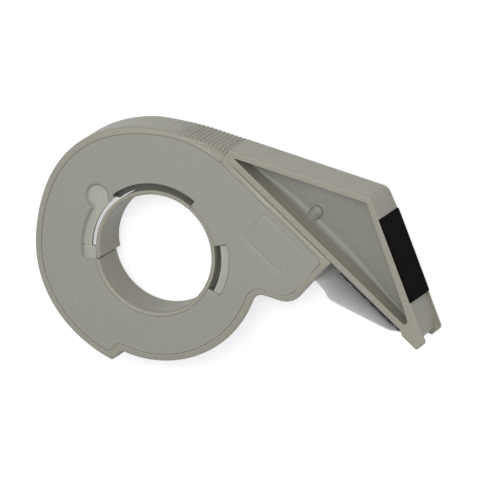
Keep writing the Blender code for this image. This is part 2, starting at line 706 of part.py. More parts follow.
def make_bow_spring():
    """The bowed steel strip under the handle, curled up behind the lobe at its free end."""
    root = spring_root()
    knee = step(root, SPRING_ANGLES[0], SPRING_LENGTH)
    end = step(knee, SPRING_ANGLES[1], SPRING_CURL)
    tangent = SPRING_ROUND * math.tan(math.radians(SPRING_ANGLES[0] - SPRING_ANGLES[1]) / 2)
    start = step(knee, SPRING_ANGLES[0], -tangent)
    path = [(root, SPRING_ANGLES[0]), (start, SPRING_ANGLES[0])]
    centre = step(start, SPRING_ANGLES[0] - 90, SPRING_ROUND)
    for angle in between(SPRING_ANGLES[0], SPRING_ANGLES[1], ARC_STEP)[1:]:
        path.append((step(centre, angle + 90, SPRING_ROUND), angle))
    path.append((end, SPRING_ANGLES[1]))
    left = [step(point, angle + 90, SPRING / 2) for point, angle in path]
    right = [step(point, angle - 90, SPRING / 2) for point, angle in path]
    outline = right + list(reversed(left))
    rows = levels(SPRING_LOW, FACE - RIM_THICKNESS - SEAM, 0.0, 0.0)
    spring = prism("bow_spring", [outline], rows)
    return finish(spring, GALVANISED, 0.42, 1.0)


def make_wiper_pad():
    """The foam pad that wipes the tape down, standing proud of the front."""
    outline = [front(PAD_PLACE, FACE_RECESSES[0] - SEAM - PAD_BACKING - SEAM)]
    outline.append(front(PAD_PLACE + PAD_LENGTH, FACE_RECESSES[0] - SEAM - PAD_BACKING - SEAM))
    outline.append(front(PAD_PLACE + PAD_LENGTH, FACE_RECESSES[0] - SEAM - PAD_BACKING - SEAM - PAD))
    outline.append(front(PAD_PLACE, FACE_RECESSES[0] - SEAM - PAD_BACKING - SEAM - PAD))
    corners = [(outline[0], 0.0), (outline[1], 0.0), (outline[2], PAD_ROUND), (outline[3], PAD_ROUND)]
    pad = prism("wiper_pad", [rounded(corners)], levels(PAD_MARGIN, WIDTH - PAD_MARGIN, 0.0, 0.0))
    return finish(pad, FOAM, 0.95)


def make_pad_backing():
    """The adhesive layer that holds the pad in its seat."""
    outline = [front(PAD_PLACE, FACE_RECESSES[0] - SEAM)]
    outline.append(front(PAD_PLACE + PAD_LENGTH, FACE_RECESSES[0] - SEAM))
    outline.append(front(PAD_PLACE + PAD_LENGTH, FACE_RECESSES[0] - SEAM - PAD_BACKING))
    outline.append(front(PAD_PLACE, FACE_RECESSES[0] - SEAM - PAD_BACKING))
    backing = prism("pad_backing", [outline], levels(PAD_MARGIN, WIDTH - PAD_MARGIN, 0.0, 0.0))
    return finish(backing, RUBBER, 0.8)


def make_stop_strip():
    """The black strip under the handle that the bowed spring is pressed against."""
    near = -SEAM
    outline = [under(STRIP_PLACE + STRIP_LENGTH, near), under(STRIP_PLACE, near)]
    outline += [under(STRIP_PLACE, near - STRIP), under(STRIP_PLACE + STRIP_LENGTH, near - STRIP)]
    outline.reverse()
    strip = prism("stop_strip", [outline], levels(STRIP_MARGIN, WIDTH - STRIP_MARGIN, 0.0, 0.0))
    return finish(strip, RUBBER, 0.7)


def set_origin(thing, place):
    """Moves an object's origin to a place and leaves its shape where it is."""
    shift = Vector((*place, 0.0))
    for vertex in thing.data.vertices:
        vertex.co -= shift
    thing.location = shift


def stand_on_origin(pieces):
    """Hangs everything on one empty, so that the middle of the underside is at the world's origin."""
    corners = [piece.location + vertex.co for piece in pieces for vertex in piece.data.vertices]
    lows = [min(corner[i] for corner in corners) for i in range(3)]
    highs = [max(corner[i] for corner in corners) for i in range(3)]
    base = bpy.data.objects.new("part_origin", None)
    bpy.context.scene.collection.objects.link(base)
    for thing in list(bpy.context.scene.objects):
        if thing is not base:
            thing.parent = base
    base.location = (-(lows[0] + highs[0]) / 2, -(lows[1] + highs[1]) / 2, -lows[2])
    bpy.context.view_layer.update()


def main():
    for thing in list(bpy.data.objects):
        bpy.data.objects.remove(thing, do_unlink=True)
    finger = make_hub_finger()
    spring = make_bow_spring()
    set_origin(finger, polar(HUB_RADIUS - HUB_WALL / 2, FINGER_ANGLES[0]))
    set_origin(spring, spring_root())
    pieces = [finger, spring, make_drum_frame(), make_side_plate(), make_hub_ring(), make_handle_frame()]
    pieces += [make_handle_web(), make_cutter_blade(), make_spring_foot(), make_wiper_pad()]
    pieces += [make_pad_backing(), make_stop_strip()]
    pieces += make_blade_rivets()
    stand_on_origin(pieces)


main()
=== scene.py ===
"""Looks for the hand-held strapping tape dispenser, dressed over its CAD frame.

Plan coordinates are in millimetres about the hub's axis, +X toward the cutting tip, with heights above
the open side that the dispenser lies on. to_row() turns them into the frame's metres.
"""

import bmesh
import bpy
import numpy as np
from bpy.props import FloatProperty, FloatVectorProperty, PointerProperty
from mathutils import Matrix, Vector


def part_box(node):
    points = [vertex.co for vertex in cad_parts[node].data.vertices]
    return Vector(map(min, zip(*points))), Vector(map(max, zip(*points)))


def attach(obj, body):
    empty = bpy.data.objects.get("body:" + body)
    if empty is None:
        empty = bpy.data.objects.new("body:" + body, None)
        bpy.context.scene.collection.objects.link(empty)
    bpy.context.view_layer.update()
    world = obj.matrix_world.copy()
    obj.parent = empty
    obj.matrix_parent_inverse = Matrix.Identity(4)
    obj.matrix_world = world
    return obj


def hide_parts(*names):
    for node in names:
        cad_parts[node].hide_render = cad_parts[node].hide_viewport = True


bl_info = {
    "name": "Strapping Tape Dispenser",
    "version": (1, 0, 0),
    "blender": (4, 5, 0),
    "location": "3D View > Sidebar > Dispenser",
    "description": "Builds the visible surfaces and finishes of a hand-held strapping tape dispenser",
    "category": "Add Mesh",
}

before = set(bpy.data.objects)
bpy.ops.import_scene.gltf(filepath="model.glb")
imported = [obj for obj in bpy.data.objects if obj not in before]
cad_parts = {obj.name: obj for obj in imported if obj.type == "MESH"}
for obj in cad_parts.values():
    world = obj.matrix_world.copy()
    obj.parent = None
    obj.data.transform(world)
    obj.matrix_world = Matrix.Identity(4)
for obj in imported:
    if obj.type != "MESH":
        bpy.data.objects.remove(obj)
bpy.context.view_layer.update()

MM = 0.001


# Plane geometry in millimetres


def way(angle):
    """Unit vectors along angles given in degrees."""
    turn = np.radians(angle)
    return np.stack([np.cos(turn), np.sin(turn)], axis=-1)


def polar(radius, angle):
    """Points at a radius and an angle about the hub's axis."""
    return np.asarray(radius)[..., None] * way(angle)


def meet(first, first_angle, second, second_angle):
    """Where two lines cross, each given by a point and an angle."""
    a, b = way(first_angle), way(second_angle)
    across = a[0] * b[1] - a[1] * b[0]
    gap = np.asarray(second) - np.asarray(first)
    return np.asarray(first) + a * ((gap[0] * b[1] - gap[1] * b[0]) / across)


def smooth(share):
    """A smooth step: 0 below 0, 1 above 1, and 3s^2 - 2s^3 between."""
    held = np.clip(share, 0.0, 1.0)
    return held * held * (3 - 2 * held)


def hump(value, height, middle, half):
    """A raised cosine: its height at the middle, and nought from half its width on."""
    return height * (1 + np.cos(np.pi * np.clip((value - middle) / half, -1, 1))) / 2


def fillet(before, corner, after, radius, count):
    """An arc of a radius that touches both lines of a corner, as evenly turned points."""
    before, corner, after = (np.asarray(p, float) for p in (before, corner, after))
    back = (before - corner) / np.linalg.norm(before - corner)
    ahead = (after - corner) / np.linalg.norm(after - corner)
    half = np.arccos(np.clip(back @ ahead, -1, 1)) / 2
    middle = (back + ahead) / np.linalg.norm(back + ahead)
    centre = corner + middle * radius / np.sin(half)
    start = corner + back * radius / np.tan(half) - centre
    end = corner + ahead * radius / np.tan(half) - centre
    first = np.arctan2(start[1], start[0])
    turn = (np.arctan2(end[1], end[0]) - first + np.pi) % (2 * np.pi) - np.pi
    angles = first + turn * np.linspace(0, 1, count)
    return centre + radius * np.stack([np.cos(angles), np.sin(angles)], axis=-1)


def spread(points, count):
    """An open line of points put at even steps of its own length, ends kept."""
    points = np.asarray(points, float)
    steps = np.linalg.norm(np.diff(points, axis=0), axis=1)
    along = np.concatenate([[0.0], np.cumsum(steps)])
    wanted = np.linspace(0, along[-1], count)
    return np.stack([np.interp(wanted, along, points[:, i]) for i in (0, 1)], axis=-1)


def inward(line):
    """Unit normals to the left of a closed anticlockwise line, from the directions of its neighbours."""
    ahead = np.roll(line, -1, axis=0) - line
    back = line - np.roll(line, 1, axis=0)
    ahead = ahead / np.maximum(np.linalg.norm(ahead, axis=1), 1e-9)[:, None]
    back = back / np.maximum(np.linalg.norm(back, axis=1), 1e-9)[:, None]
    along = ahead + back
    along = along / np.maximum(np.linalg.norm(along, axis=1), 1e-9)[:, None]
    return np.stack([-along[:, 1], along[:, 0]], axis=-1)


# Drum, face and hub: millimetres, and degrees anticlockwise from +X

WIDTH = 31.0
DRUM = 75.4
HUB = 37.9
HUB_WALL = 2.8
HUB_DEPTH = 26.6
RIM = 4.3
RIM_DEPTH = 3.5
PLATE_DEPTH = 3.1
WALL = 2.6
GROOVE = 0.7
FOOT = 64.9
FOOT_SPAN = (251.0, 334.0)
LOBE_BASE = 64.3
NECK_LEAVE = 64.0
NECK_RUN = 8.0
NECK_ANGLE = -14.6
LOBE_RUN = 23.4
LOBE_SIDE = 45.8
CORNER_RUN = 9.0
ARC_START = 92.0
OUTER_STOP = 242.7
INNER_STOP = 236.0
MOUTH_ANGLE = 245.2
NOTCH_ANGLE = 248.0

# Drum swell and top line easing as (height, middle, half width); draw-in as (depth, start, span)

SWELL = (3.1, 128.0, 44.0)
EASING = (0.9, 41.0, 20.0)
DRAW_IN = (2.6, 186.0, 56.0)

# Hub's finger: where it is split off, where it ends, the two gaps, its draw low and high, and its lip

HUB_SPLIT = 50.0
FINGER_END = 187.0
SPLIT_GAP = 0.35
FINGER_GAP = 1.5
FINGER_DRAW = (2.8, 1.3)
LIP = (0.7, 140.0, 42.0)

# Slots, scoops and label recess of the face; a scoop is (far radius, middle, half angle, corner radius)

TOP_SLOT = (50.5, 126.0)
SLIT_END = 176.0
TONGUE_END = 187.9
RIGHT_SLOT = (329.0, 9.0)
TOP_GAP = 4.1
RIGHT_GAP = 3.4
SLIT_GAP = 1.7
SLIT_FLARE = 0.3
CLOSED_GAP = 0.08
TONGUE_LAP = 0.75
# Shelves under the top and right slots: sheets that fill the slots with shade and are painted darker.
SHELF_DEPTH = 6.5
SHELF_THICK = 0.9
LEFT_SCOOP = (46.6, 160.0, 29.4, 3.8)
RIGHT_SCOOP = (47.0, -11.0, 21.2, 3.4)
SCOOP_RADIUS = 43.0
DIP_CENTRE = (-34.4, 32.6)
DIP_RADIUS = 7.9
DIP_BLEND = 1.6
LABEL_CENTRE = (74.3, 9.3)
LABEL_HALF = (10.2, 15.3)
RAY_STEP = 0.6

# Handle and tip; the far edge's rounding is given in plan and in height

TOP_ANGLE = -15.7
TOP_NORMAL = TOP_ANGLE + 90
LOWER_ANGLE = 136.9
NORMAL_ANGLE = LOWER_ANGLE - 90
FRONT_ANGLE = -70.8
TIP_ANGLE = 219.0
HANDLE_RUN = 31.0
TOP_LENGTH = 120.6
FRONT_LENGTH = 90.2
TIP_LENGTH = 7.7
FAR_EDGE = (1.9, 5.5)
SIDE_EDGE = 1.1
EAR_DROP = 2.0
EAR_START = 80.0
FAR_EAR_SHORT = 2.3
SEAM_DROP = 2.6
SEAM_FADE = 9.0
CHANNEL = 1.2
NOTCH_CEILING = 0.15
PAD_START = 15.0
PAD_LENGTH = 51.8
PAD_GAP = 0.3
TOP_WALL = 3.2
LOWER_WALL = 3.6
POCKET_EDGE = 0.7
POCKET_DRAFT = 2.4
POCKET_DEPTH = 12.4
WEB = 2.4
BOSS_AT = 98.0
BOSS_REACH = 8.6
BOSS_HALF = 3.6

# Points along each stretch of the handle's outlines, so that they match row by row

COUNTS = (150, 60, 60, 30, 70, 50, 119, 1, 14)
LOWER_COUNT, BROW_COUNT, SEAM_COUNT = COUNTS[0], COUNTS[5], COUNTS[-1]
BROW_AT = sum(COUNTS[:5])

# Grip ribs; a run of NO_RIBS lies past them all

RIB_START = 0.5
RIB_PITCH = 2.6
RIB_COUNT = 16
RIB_HEIGHT = 1.05
NO_RIBS = 100.0

# Bowed strip, its straight runs as (length, angle), and the pieces that it is seated under

STRIP = 0.5
STRIP_LENGTH = 70.0
STRIP_RUNS = ((7.0, 171.0), (41.0, 155.5), (21.0, 131.0))
BLADE = 0.8
SEAT_GAP = 0.3
SEAT_END = 12.6

# Stage, in the same plan millimetres, with watts for the lamps

FLOOR_SIZE = 4000.0
FLOOR_SHOWN = 0.33
FLOOR_REFLECTED = 0.25
WORLD_LIGHT = 0.5
LAMP_SIZE = 380.0
LAMP_AIM = (40.0, 0.0, 15.0)
LAMPS = (
    ("top softbox", (200.0, 441.0, 898.0), 2.1),
    ("right softbox", (447.0, 235.0, 898.0), 1.5),
    ("left softbox", (-292.0, 332.0, 898.0), 1.1),
)
CAMERA_AIM = (54.118, 10.756)
CAMERA_DISTANCE = 6000.0
CAMERA_TILT = 26.0
CAMERA_TOWARD = 33.5
LENS = 777.15


def hub_place():
    """The hub's axis in the frame, in millimetres, from the fixed ring's rightmost and lowest points."""
    low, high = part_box("hub_ring")
    return np.array([high[0] / MM - HUB, low[1] / MM + HUB])


HUB_XY = hub_place()
TOP_START = polar(DRUM, TOP_NORMAL)
FRONT_CORNER = TOP_START + TOP_LENGTH * way(TOP_ANGLE)
EAR_FRONT = FRONT_CORNER + FRONT_LENGTH * way(FRONT_ANGLE)
EAR_BACK = EAR_FRONT + TIP_LENGTH * way(TIP_ANGLE)
HANDLE_CORNER = TOP_START + HANDLE_RUN * way(TOP_ANGLE)


def under(distance, depth):
    """Points a distance up the underside from the tip, and a depth into the wall."""
    along, into = np.asarray(distance, float)[..., None], np.asarray(depth, float)[..., None]
    return EAR_BACK + along * way(LOWER_ANGLE) + (EAR_DROP + into) * way(NORMAL_ANGLE)


def front(distance, depth):
    """Points a distance down the front from its corner, and a depth into the wall."""
    along, into = np.asarray(distance, float)[..., None], np.asarray(depth, float)[..., None]
    return FRONT_CORNER + along * way(FRONT_ANGLE) + into * way(FRONT_ANGLE - 90)


HANDLE_ROOT = meet(HANDLE_CORNER, TOP_NORMAL, under(0, 0), LOWER_ANGLE)


def drum_radius(angle):
    """Radius of the drum's wall: a circle with a raised-cosine swell and a smooth draw-in to its open end."""
    depth, start, span = DRAW_IN
    return DRUM + hump(angle, *SWELL) - depth * smooth((angle - start) / span)


def top_run(angle):
    """Distance along the outline from the handle's corner, over the top's straight run, to an angle."""
    return HANDLE_RUN + np.radians(angle - TOP_NORMAL) * DRUM


def top_easing(run):
    """How far the outline falls short where the top's line meets the drum's circle: a raised cosine."""
    return hump(run, *EASING)


def face_segments(edge, line, wall_stop):
    """The face's outline inset by an edge, in matching stretches: foot and lobe, drum's arc, drum's end."""
    arc = polar(np.full(50, FOOT - edge), np.linspace(*FOOT_SPAN, 50))
    outer_neck = polar(LOBE_BASE, FOOT_SPAN[1]) + NECK_RUN * way(NECK_LEAVE)
    outer_lobe = outer_neck + LOBE_RUN * way(NECK_ANGLE)
    on_neck = outer_neck + edge * way(NECK_ANGLE + 90)
    on_side = outer_lobe + edge * way(LOBE_SIDE + 90)
    neck = meet(arc[-1], NECK_LEAVE, on_neck, NECK_ANGLE)
    lobe = meet(on_neck, NECK_ANGLE, on_side, LOBE_SIDE)
    end = meet(on_side, LOBE_SIDE, line, LOWER_ANGLE)
    side_start, top_side = end - CORNER_RUN * way(LOBE_SIDE), end + CORNER_RUN * way(LOWER_ANGLE)
    corner = fillet(side_start, end, top_side, 0.01 + 0.56 * edge, 9)
    first = np.concatenate([
        arc,
        fillet(arc[-1], neck, lobe, 6.0 + edge, 22),
        spread([neck + 6.5 * way(NECK_ANGLE), lobe - 9.0 * way(NECK_ANGLE)], 6),
        fillet(neck, lobe, end, 13.0 - edge, 30),
        spread([side_start, *corner], 20),
    ])
    angles = np.linspace(ARC_START, wall_stop, 260)
    last_arc = polar(drum_radius(angles) - edge, angles)
    shift = np.degrees(edge / DRUM)
    tip = polar(drum_radius(MOUTH_ANGLE) - edge, MOUTH_ANGLE - shift)
    notch = polar(FOOT - edge, NOTCH_ANGLE - shift)
    last = np.concatenate([
        fillet(last_arc[-1], tip, notch, 1.6, 10),
        fillet(tip, notch, arc[0], 2.6, 10),
    ])
    return first, last_arc, last


def rib_lift(run):
    """Height of the grip ribs along the top: a power of a sine per pitch, down to a fifth over 18 mm."""
    wave = np.abs(np.sin(np.pi * (run - RIB_START) / RIB_PITCH)) ** 1.1
    height = RIB_HEIGHT * (1 - 0.8 * smooth((run - 24.0) / 18.0))
    ribbed = (run > RIB_START) & (run < RIB_START + RIB_COUNT * RIB_PITCH)
    return np.where(ribbed, height * (wave - 1), 0.0)


def bearing(points):
    """Angles of points about the hub's axis, in degrees from -180 to 180."""
    return np.degrees(np.arctan2(points[..., 1], points[..., 0]))


def drum_lines():
    """The drum's outer line, groove line and wall, with its edge rounding, normals, ribs and wall flags."""
    first, arc, last = face_segments(0.0, under(0, 0), OUTER_STOP)
    tangent = polar(DRUM - RIM, NORMAL_ANGLE)
    inner_first, inner_arc, inner_last = face_segments(RIM, tangent, INNER_STOP)
    diagonal = spread([first[-1], HANDLE_ROOT], 60)[1:]
    rise = spread([HANDLE_ROOT, HANDLE_CORNER - SEAM_DROP * way(TOP_NORMAL)], 12)[1:]
    top = spread([HANDLE_CORNER, TOP_START], 140)
    turn = np.linspace(TOP_NORMAL, ARC_START, 110)[1:-1]
    run = np.concatenate([np.linspace(0, HANDLE_RUN, 140), top_run(turn)])
    out = np.concatenate([np.tile(way(TOP_NORMAL), (len(top), 1)), way(turn)])
    ribbed = np.concatenate([top, polar(drum_radius(turn), turn)])
    facing = bearing(arc) % 360
    eased = arc - way(facing) * top_easing(top_run(facing))[:, None]
    outer = np.concatenate([first, diagonal, rise, ribbed - out * top_easing(run)[:, None], eased, last])
    at = len(first) + len(diagonal) + len(rise)
    lower, seam = slice(len(first), len(first) + len(diagonal)), slice(at - len(rise), at)
    upper, stretch = slice(at, at + len(run)), slice(at - len(rise), at + len(top))
    lift = np.zeros(len(outer))
    lift[upper] = rib_lift(run)
    along = np.full(len(outer), NO_RIBS)
    along[upper] = run
    normal = inward(outer)
    normal[upper] = -out
    normal[lower] = -way(NORMAL_ANGLE)
    faded = smooth(np.linalg.norm(diagonal - HANDLE_ROOT, axis=1) / SEAM_FADE)
    round_share = np.ones(len(outer))
    round_share[lower] = faded
    round_share[seam] = 0.0
    round_share[upper] = 0.5 + 0.5 * smooth(run / 22.0)
    round_share *= 0.1 + 0.9 * smooth(np.linalg.norm(outer - first[-1], axis=1) / 6.0)
    calm = np.ones(len(outer))
    calm[lower] = faded
    calm[seam] = 0.0
    calm[upper] = smooth(run / 15.0)
    inner_diagonal = spread([inner_first[-1], tangent], 60)[1:]
    angles = np.concatenate([np.linspace(NORMAL_ANGLE, 52.4, 12)[1:], bearing(ribbed)])
    bend = polar(drum_radius(angles) - RIM, angles)
    inner = np.concatenate([inner_first, inner_diagonal, bend, inner_arc, inner_last])
    wall = outer - way(bearing(outer)) * WALL
    wall[stretch] = polar(np.full(len(rise) + len(top), DRUM - WALL), bearing(outer[stretch]))
    walled = np.zeros(len(outer), bool)
    walled[seam.start:len(outer) - len(last) + 6] = True
    return {
        "outer": outer, "inner": inner, "wall": wall, "walled": walled, "normal": normal,
        "round": round_share, "lift": lift, "along": along, "calm": calm,
    }


# Mesh making


def to_row(points):
    """Plan millimetres turned into the frame's metres."""
    moved = np.array(points, float)
    moved[..., :2] += HUB_XY
    return moved * MM


def grid_object(name, points, close_u=False, close_v=False, cap_u=False, sharp=38.0, marks=None):
    """An object from a grid of points: quads between neighbours, doubles merged, caps drawn to their mean."""
    if cap_u:
        ends = [np.broadcast_to(points[i].mean(axis=0), points[i].shape)[None] for i in (0, -1)]
        points = np.concatenate([ends[0], points, ends[1]])
    nu, nv = points.shape[:2]
    index = np.arange(nu * nv).reshape(nu, nv)
    near = index if close_u else index[:-1]
    far = np.roll(index, -1, axis=0) if close_u else index[1:]
    if close_v:
        near_next, far_next = np.roll(near, -1, axis=1), np.roll(far, -1, axis=1)
    else:
        near_next, far_next = near[:, 1:], far[:, 1:]
        near, far = near[:, :-1], far[:, :-1]
    faces = np.stack([near, far, far_next, near_next], axis=-1).reshape(-1, 4)
    mesh = bpy.data.meshes.new(name)
    flat = to_row(points).reshape(-1, 3)
    mesh.vertices.add(len(flat))
    mesh.vertices.foreach_set("co", flat.ravel())
    mesh.loops.add(faces.size)
    mesh.loops.foreach_set("vertex_index", faces.ravel())
    mesh.polygons.add(len(faces))
    mesh.polygons.foreach_set("loop_start", np.arange(0, faces.size, 4))
    mesh.update(calc_edges=True)
    if marks is not None:
        # The marks carry polish and painted light to the face plate's material.
        mesh.attributes.new("polish_and_painted_light", "FLOAT", "POINT").data.foreach_set("value", marks.ravel())
    builder = bmesh.new()
    builder.from_mesh(mesh)
    bmesh.ops.remove_doubles(builder, verts=builder.verts, dist=2e-6)
    bmesh.ops.dissolve_degenerate(builder, edges=builder.edges, dist=1e-6)
    bmesh.ops.recalc_face_normals(builder, faces=builder.faces)
    builder.to_mesh(mesh)
    builder.free()
    mesh.validate()
    mesh.shade_smooth()
    mesh.set_sharp_from_angle(angle=np.radians(sharp))
    thing = bpy.data.objects.new(name, mesh)
    bpy.context.scene.collection.objects.link(thing)
    return thing


def loft(rows):
    """A closed section carried along a closed path: rows of (plan points, heights) stacked into one grid."""
    stack = []
    for plan, height in rows:
        level = np.broadcast_to(np.asarray(height, float), plan.shape[:1])
        stack.append(np.concatenate([plan, level[:, None]], axis=1))
    return np.stack(stack, axis=1)


def quarter(count):
    """Sine and cosine of a quarter turn in even steps."""
    turn = np.linspace(0, np.pi / 2, count)
    return list(zip(np.sin(turn), np.cos(turn)))


def dress(thing, material, body="frame", nodes=()):
    """Gives a piece its material, the body that it rides on and the nodes that it stands for."""
    thing.data.materials.clear()
    thing.data.materials.append(material)
    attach(thing, body)
    if nodes:
        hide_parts(*nodes)
    return thing


# Materials


def srgb(code):
    """The three shares from 0 to 1 that an sRGB hex colour stands for."""
    return tuple(int(code[i:i + 2], 16) / 255 for i in (0, 2, 4))


def linear(colour):
    """An sRGB hex colour, or its three shares, as linear RGBA."""
    values = np.asarray(srgb(colour) if isinstance(colour, str) else colour, float)
    low = values / 12.92
    high = ((values + 0.055) / 1.055) ** 2.4
    return (*np.where(values <= 0.04045, low, high), 1.0)


def shade(colour, factor):
    """A colour times a factor, or a factor per channel, as linear RGBA no brighter than white."""
    return (*np.minimum(np.array(linear(colour)[:3]) * factor, 1.0), 1.0)


def add(tree, kind, settings=None, **links):
    """A node with its settings, its values, and links from other nodes' sockets to its inputs."""
    node = tree.nodes.new(kind)
    for name, value in (settings or {}).items():
        setattr(node, name, value)
    for name, value in links.items():
        socket = node.inputs[int(name[1:])] if name[0] == "i" and name[1:].isdigit() else node.inputs[name]
        if isinstance(value, bpy.types.NodeSocket):
            tree.links.new(value, socket)
        else:
            socket.default_value = value
    return node


def new_material(name):
    """A material with a bare Principled shader, its tree and the shader."""
    material = bpy.data.materials.new(name)
    material.use_nodes = True
    return material, material.node_tree, material.node_tree.nodes["Principled BSDF"]


def moulded_plastic(name, colour, roughness, grit, depth, mottle, polish_and_light_marked=False):
    """ABS moulded in a textured tool: fine grit, slow colour drift, uneven gloss, and polish with painted
    light where marked.
    """
    # The grit breaks up highlights and the drift keeps broad faces from looking like one flat paint.
    material, tree, shader = new_material(name)
    place = add(tree, "ShaderNodeTexCoord").outputs["Object"]
    drift = add(tree, "ShaderNodeTexNoise", Vector=place, Scale=1 / (22 * MM), Detail=3.0, Roughness=0.55)
    speck = add(tree, "ShaderNodeTexNoise", Vector=place, Scale=1 / (2.2 * MM), Detail=2.0, Roughness=0.6)
    grain = add(tree, "ShaderNodeTexNoise", Vector=place, Scale=1 / (grit * MM), Detail=2.5, Roughness=0.6)
    light, dark = 1 + mottle * np.array([1.0, 0.6, 0.4]), 1 - mottle * np.array([1.0, 0.8, 0.6])
    ramp = add(tree, "ShaderNodeMix", {"data_type": "RGBA"}, i0=drift.outputs["Fac"],
               i6=shade(colour, light), i7=shade(colour, dark))
    tone = add(tree, "ShaderNodeMix", {"data_type": "RGBA", "blend_type": "OVERLAY"}, i0=0.10,
               i6=ramp.outputs[2], i7=speck.outputs["Fac"])
    gloss = add(tree, "ShaderNodeMapRange", Value=drift.outputs["Fac"],
                **{"To Min": roughness - 0.05, "To Max": roughness + 0.05})
    tree.links.new(gloss.outputs["Result"], shader.inputs["Roughness"])
    bump = add(tree, "ShaderNodeBump", Height=grain.outputs["Fac"], Strength=0.5, Distance=depth * MM)
    if polish_and_light_marked:
        # Marked scoop floors are smoother than the grit and painted lighter, a painted highlight; the shelves
        # in the slots are painted darker, painted shade.
        mark = add(tree, "ShaderNodeAttribute", {"attribute_name": "polish_and_painted_light"}).outputs["Fac"]
        level = add(tree, "ShaderNodeMapRange", Value=mark,
                    **{"From Min": -1.0, "To Min": 0.4, "To Max": 1.6})
        tone = add(tree, "ShaderNodeMix", {"data_type": "RGBA", "blend_type": "MULTIPLY"}, i0=1.0,
                   i6=tone.outputs[2], i7=level.outputs["Result"])
        calm = add(tree, "ShaderNodeMapRange", Value=mark, **{"To Min": 0.5, "To Max": 0.05})
        tree.links.new(calm.outputs["Result"], bump.inputs["Strength"])
    tree.links.new(tone.outputs[2], shader.inputs["Base Color"])
    tree.links.new(bump.outputs["Normal"], shader.inputs["Normal"])
    shader.inputs["IOR"].default_value = 1.53
    return material


def plated_steel(name, colour, roughness, spangle, metal=1.0):
    """Zinc-coated sheet steel: soft crystalline patches, clouded gloss and a fine uneven skin."""
    # The patches give the pale, faintly mottled grey of plated sheet instead of a mirror.
    material, tree, shader = new_material(name)
    place = add(tree, "ShaderNodeTexCoord").outputs["Object"]
    cells = add(tree, "ShaderNodeTexVoronoi", {"feature": "F1"}, Vector=place, Scale=1 / (spangle * MM))
    cloud = add(tree, "ShaderNodeTexNoise", Vector=place, Scale=1 / (3 * MM), Detail=4.0)
    fine = add(tree, "ShaderNodeTexNoise", Vector=place, Scale=1 / (0.5 * MM), Detail=2.0)
    tone = add(tree, "ShaderNodeMix", {"data_type": "RGBA"}, i0=cells.outputs["Color"],
               i6=shade(colour, 0.93), i7=shade(colour, 1.07))
    veil = add(tree, "ShaderNodeMix", {"data_type": "RGBA", "blend_type": "OVERLAY"}, i0=0.18,
               i6=tone.outputs[2], i7=cloud.outputs["Fac"])
    tree.links.new(veil.outputs[2], shader.inputs["Base Color"])
    gloss = add(tree, "ShaderNodeMapRange", Value=cloud.outputs["Fac"],
                **{"To Min": roughness - 0.08, "To Max": roughness + 0.10})
    tree.links.new(gloss.outputs["Result"], shader.inputs["Roughness"])
    bump = add(tree, "ShaderNodeBump", Height=fine.outputs["Fac"], Strength=0.3, Distance=0.02 * MM)
    tree.links.new(bump.outputs["Normal"], shader.inputs["Normal"])
    shader.inputs["Metallic"].default_value = metal
    return material


def open_foam(name, colour):
    """Open-cell polyurethane foam: pores 0.7 mm wide, coarse enough to show, as a bump with darker pits."""
    # The pits swallow light, so the pad reads as soft and almost black beside the plastic.
    material, tree, shader = new_material(name)
    place = add(tree, "ShaderNodeTexCoord").outputs["Object"]
    pores = add(tree, "ShaderNodeTexVoronoi", {"feature": "F1"}, Vector=place, Scale=1 / (0.7 * MM))
    drift = add(tree, "ShaderNodeTexNoise", Vector=place, Scale=1 / (6 * MM), Detail=3.0)
    tone = add(tree, "ShaderNodeMix", {"data_type": "RGBA"}, i0=pores.outputs["Distance"],
               i6=shade(colour, 0.6), i7=shade(colour, 1.6))
    veil = add(tree, "ShaderNodeMix", {"data_type": "RGBA", "blend_type": "OVERLAY"}, i0=0.3,
               i6=tone.outputs[2], i7=drift.outputs["Fac"])
    tree.links.new(veil.outputs[2], shader.inputs["Base Color"])
    bump = add(tree, "ShaderNodeBump", Height=pores.outputs["Distance"], Strength=0.8, Distance=0.15 * MM)
    tree.links.new(bump.outputs["Normal"], shader.inputs["Normal"])
    shader.inputs["Roughness"].default_value = 0.95
    shader.inputs["Specular IOR Level"].default_value = 0.05
    return material


def cast_rubber(name, colour):
    """Black rubber strip: matt with a slight bloom and a fine uneven skin."""
    # The bloom greys the black a little in clouds, as aged rubber does.
    material, tree, shader = new_material(name)
    place = add(tree, "ShaderNodeTexCoord").outputs["Object"]
    bloom = add(tree, "ShaderNodeTexNoise", Vector=place, Scale=1 / (4 * MM), Detail=4.0)
    skin = add(tree, "ShaderNodeTexNoise", Vector=place, Scale=1 / (0.6 * MM), Detail=2.0)
    tone = add(tree, "ShaderNodeMix", {"data_type": "RGBA"}, i0=bloom.outputs["Fac"],
               i6=shade(colour, 0.7), i7=shade(colour, 1.5))
    tree.links.new(tone.outputs[2], shader.inputs["Base Color"])
    bump = add(tree, "ShaderNodeBump", Height=skin.outputs["Fac"], Strength=0.4, Distance=0.05 * MM)
    tree.links.new(bump.outputs["Normal"], shader.inputs["Normal"])
    shader.inputs["Roughness"].default_value = 0.75
    return material


def colours():
    """The scene's set of colours."""
    return bpy.context.scene.dispenser_colours


def satin(name="satin moulded ABS"):
    """The housing's satin ABS, made once."""
    found = bpy.data.materials.get(name)
    return found or moulded_plastic(name, tuple(colours().housing), 0.36, 0.5, 0.008, 0.03)


def pocket_shade_abs(name="moulded ABS with painted pocket shade"):
    """The web's ABS, made once, darker and greyer than the housing as painted shade for the handle's pocket.
    """
    found = bpy.data.materials.get(name)
    return found or moulded_plastic(name, "888880", 0.44, 0.5, 0.02, 0.03)


def sparked(name="spark-textured ABS"):
    """The face plate's coarser spark-textured ABS, made once, with polish and painted light where marked."""
    found = bpy.data.materials.get(name)
    return found or moulded_plastic(name, tuple(colours().face), 0.52, 0.8, 0.07, 0.03, True)


# Properties


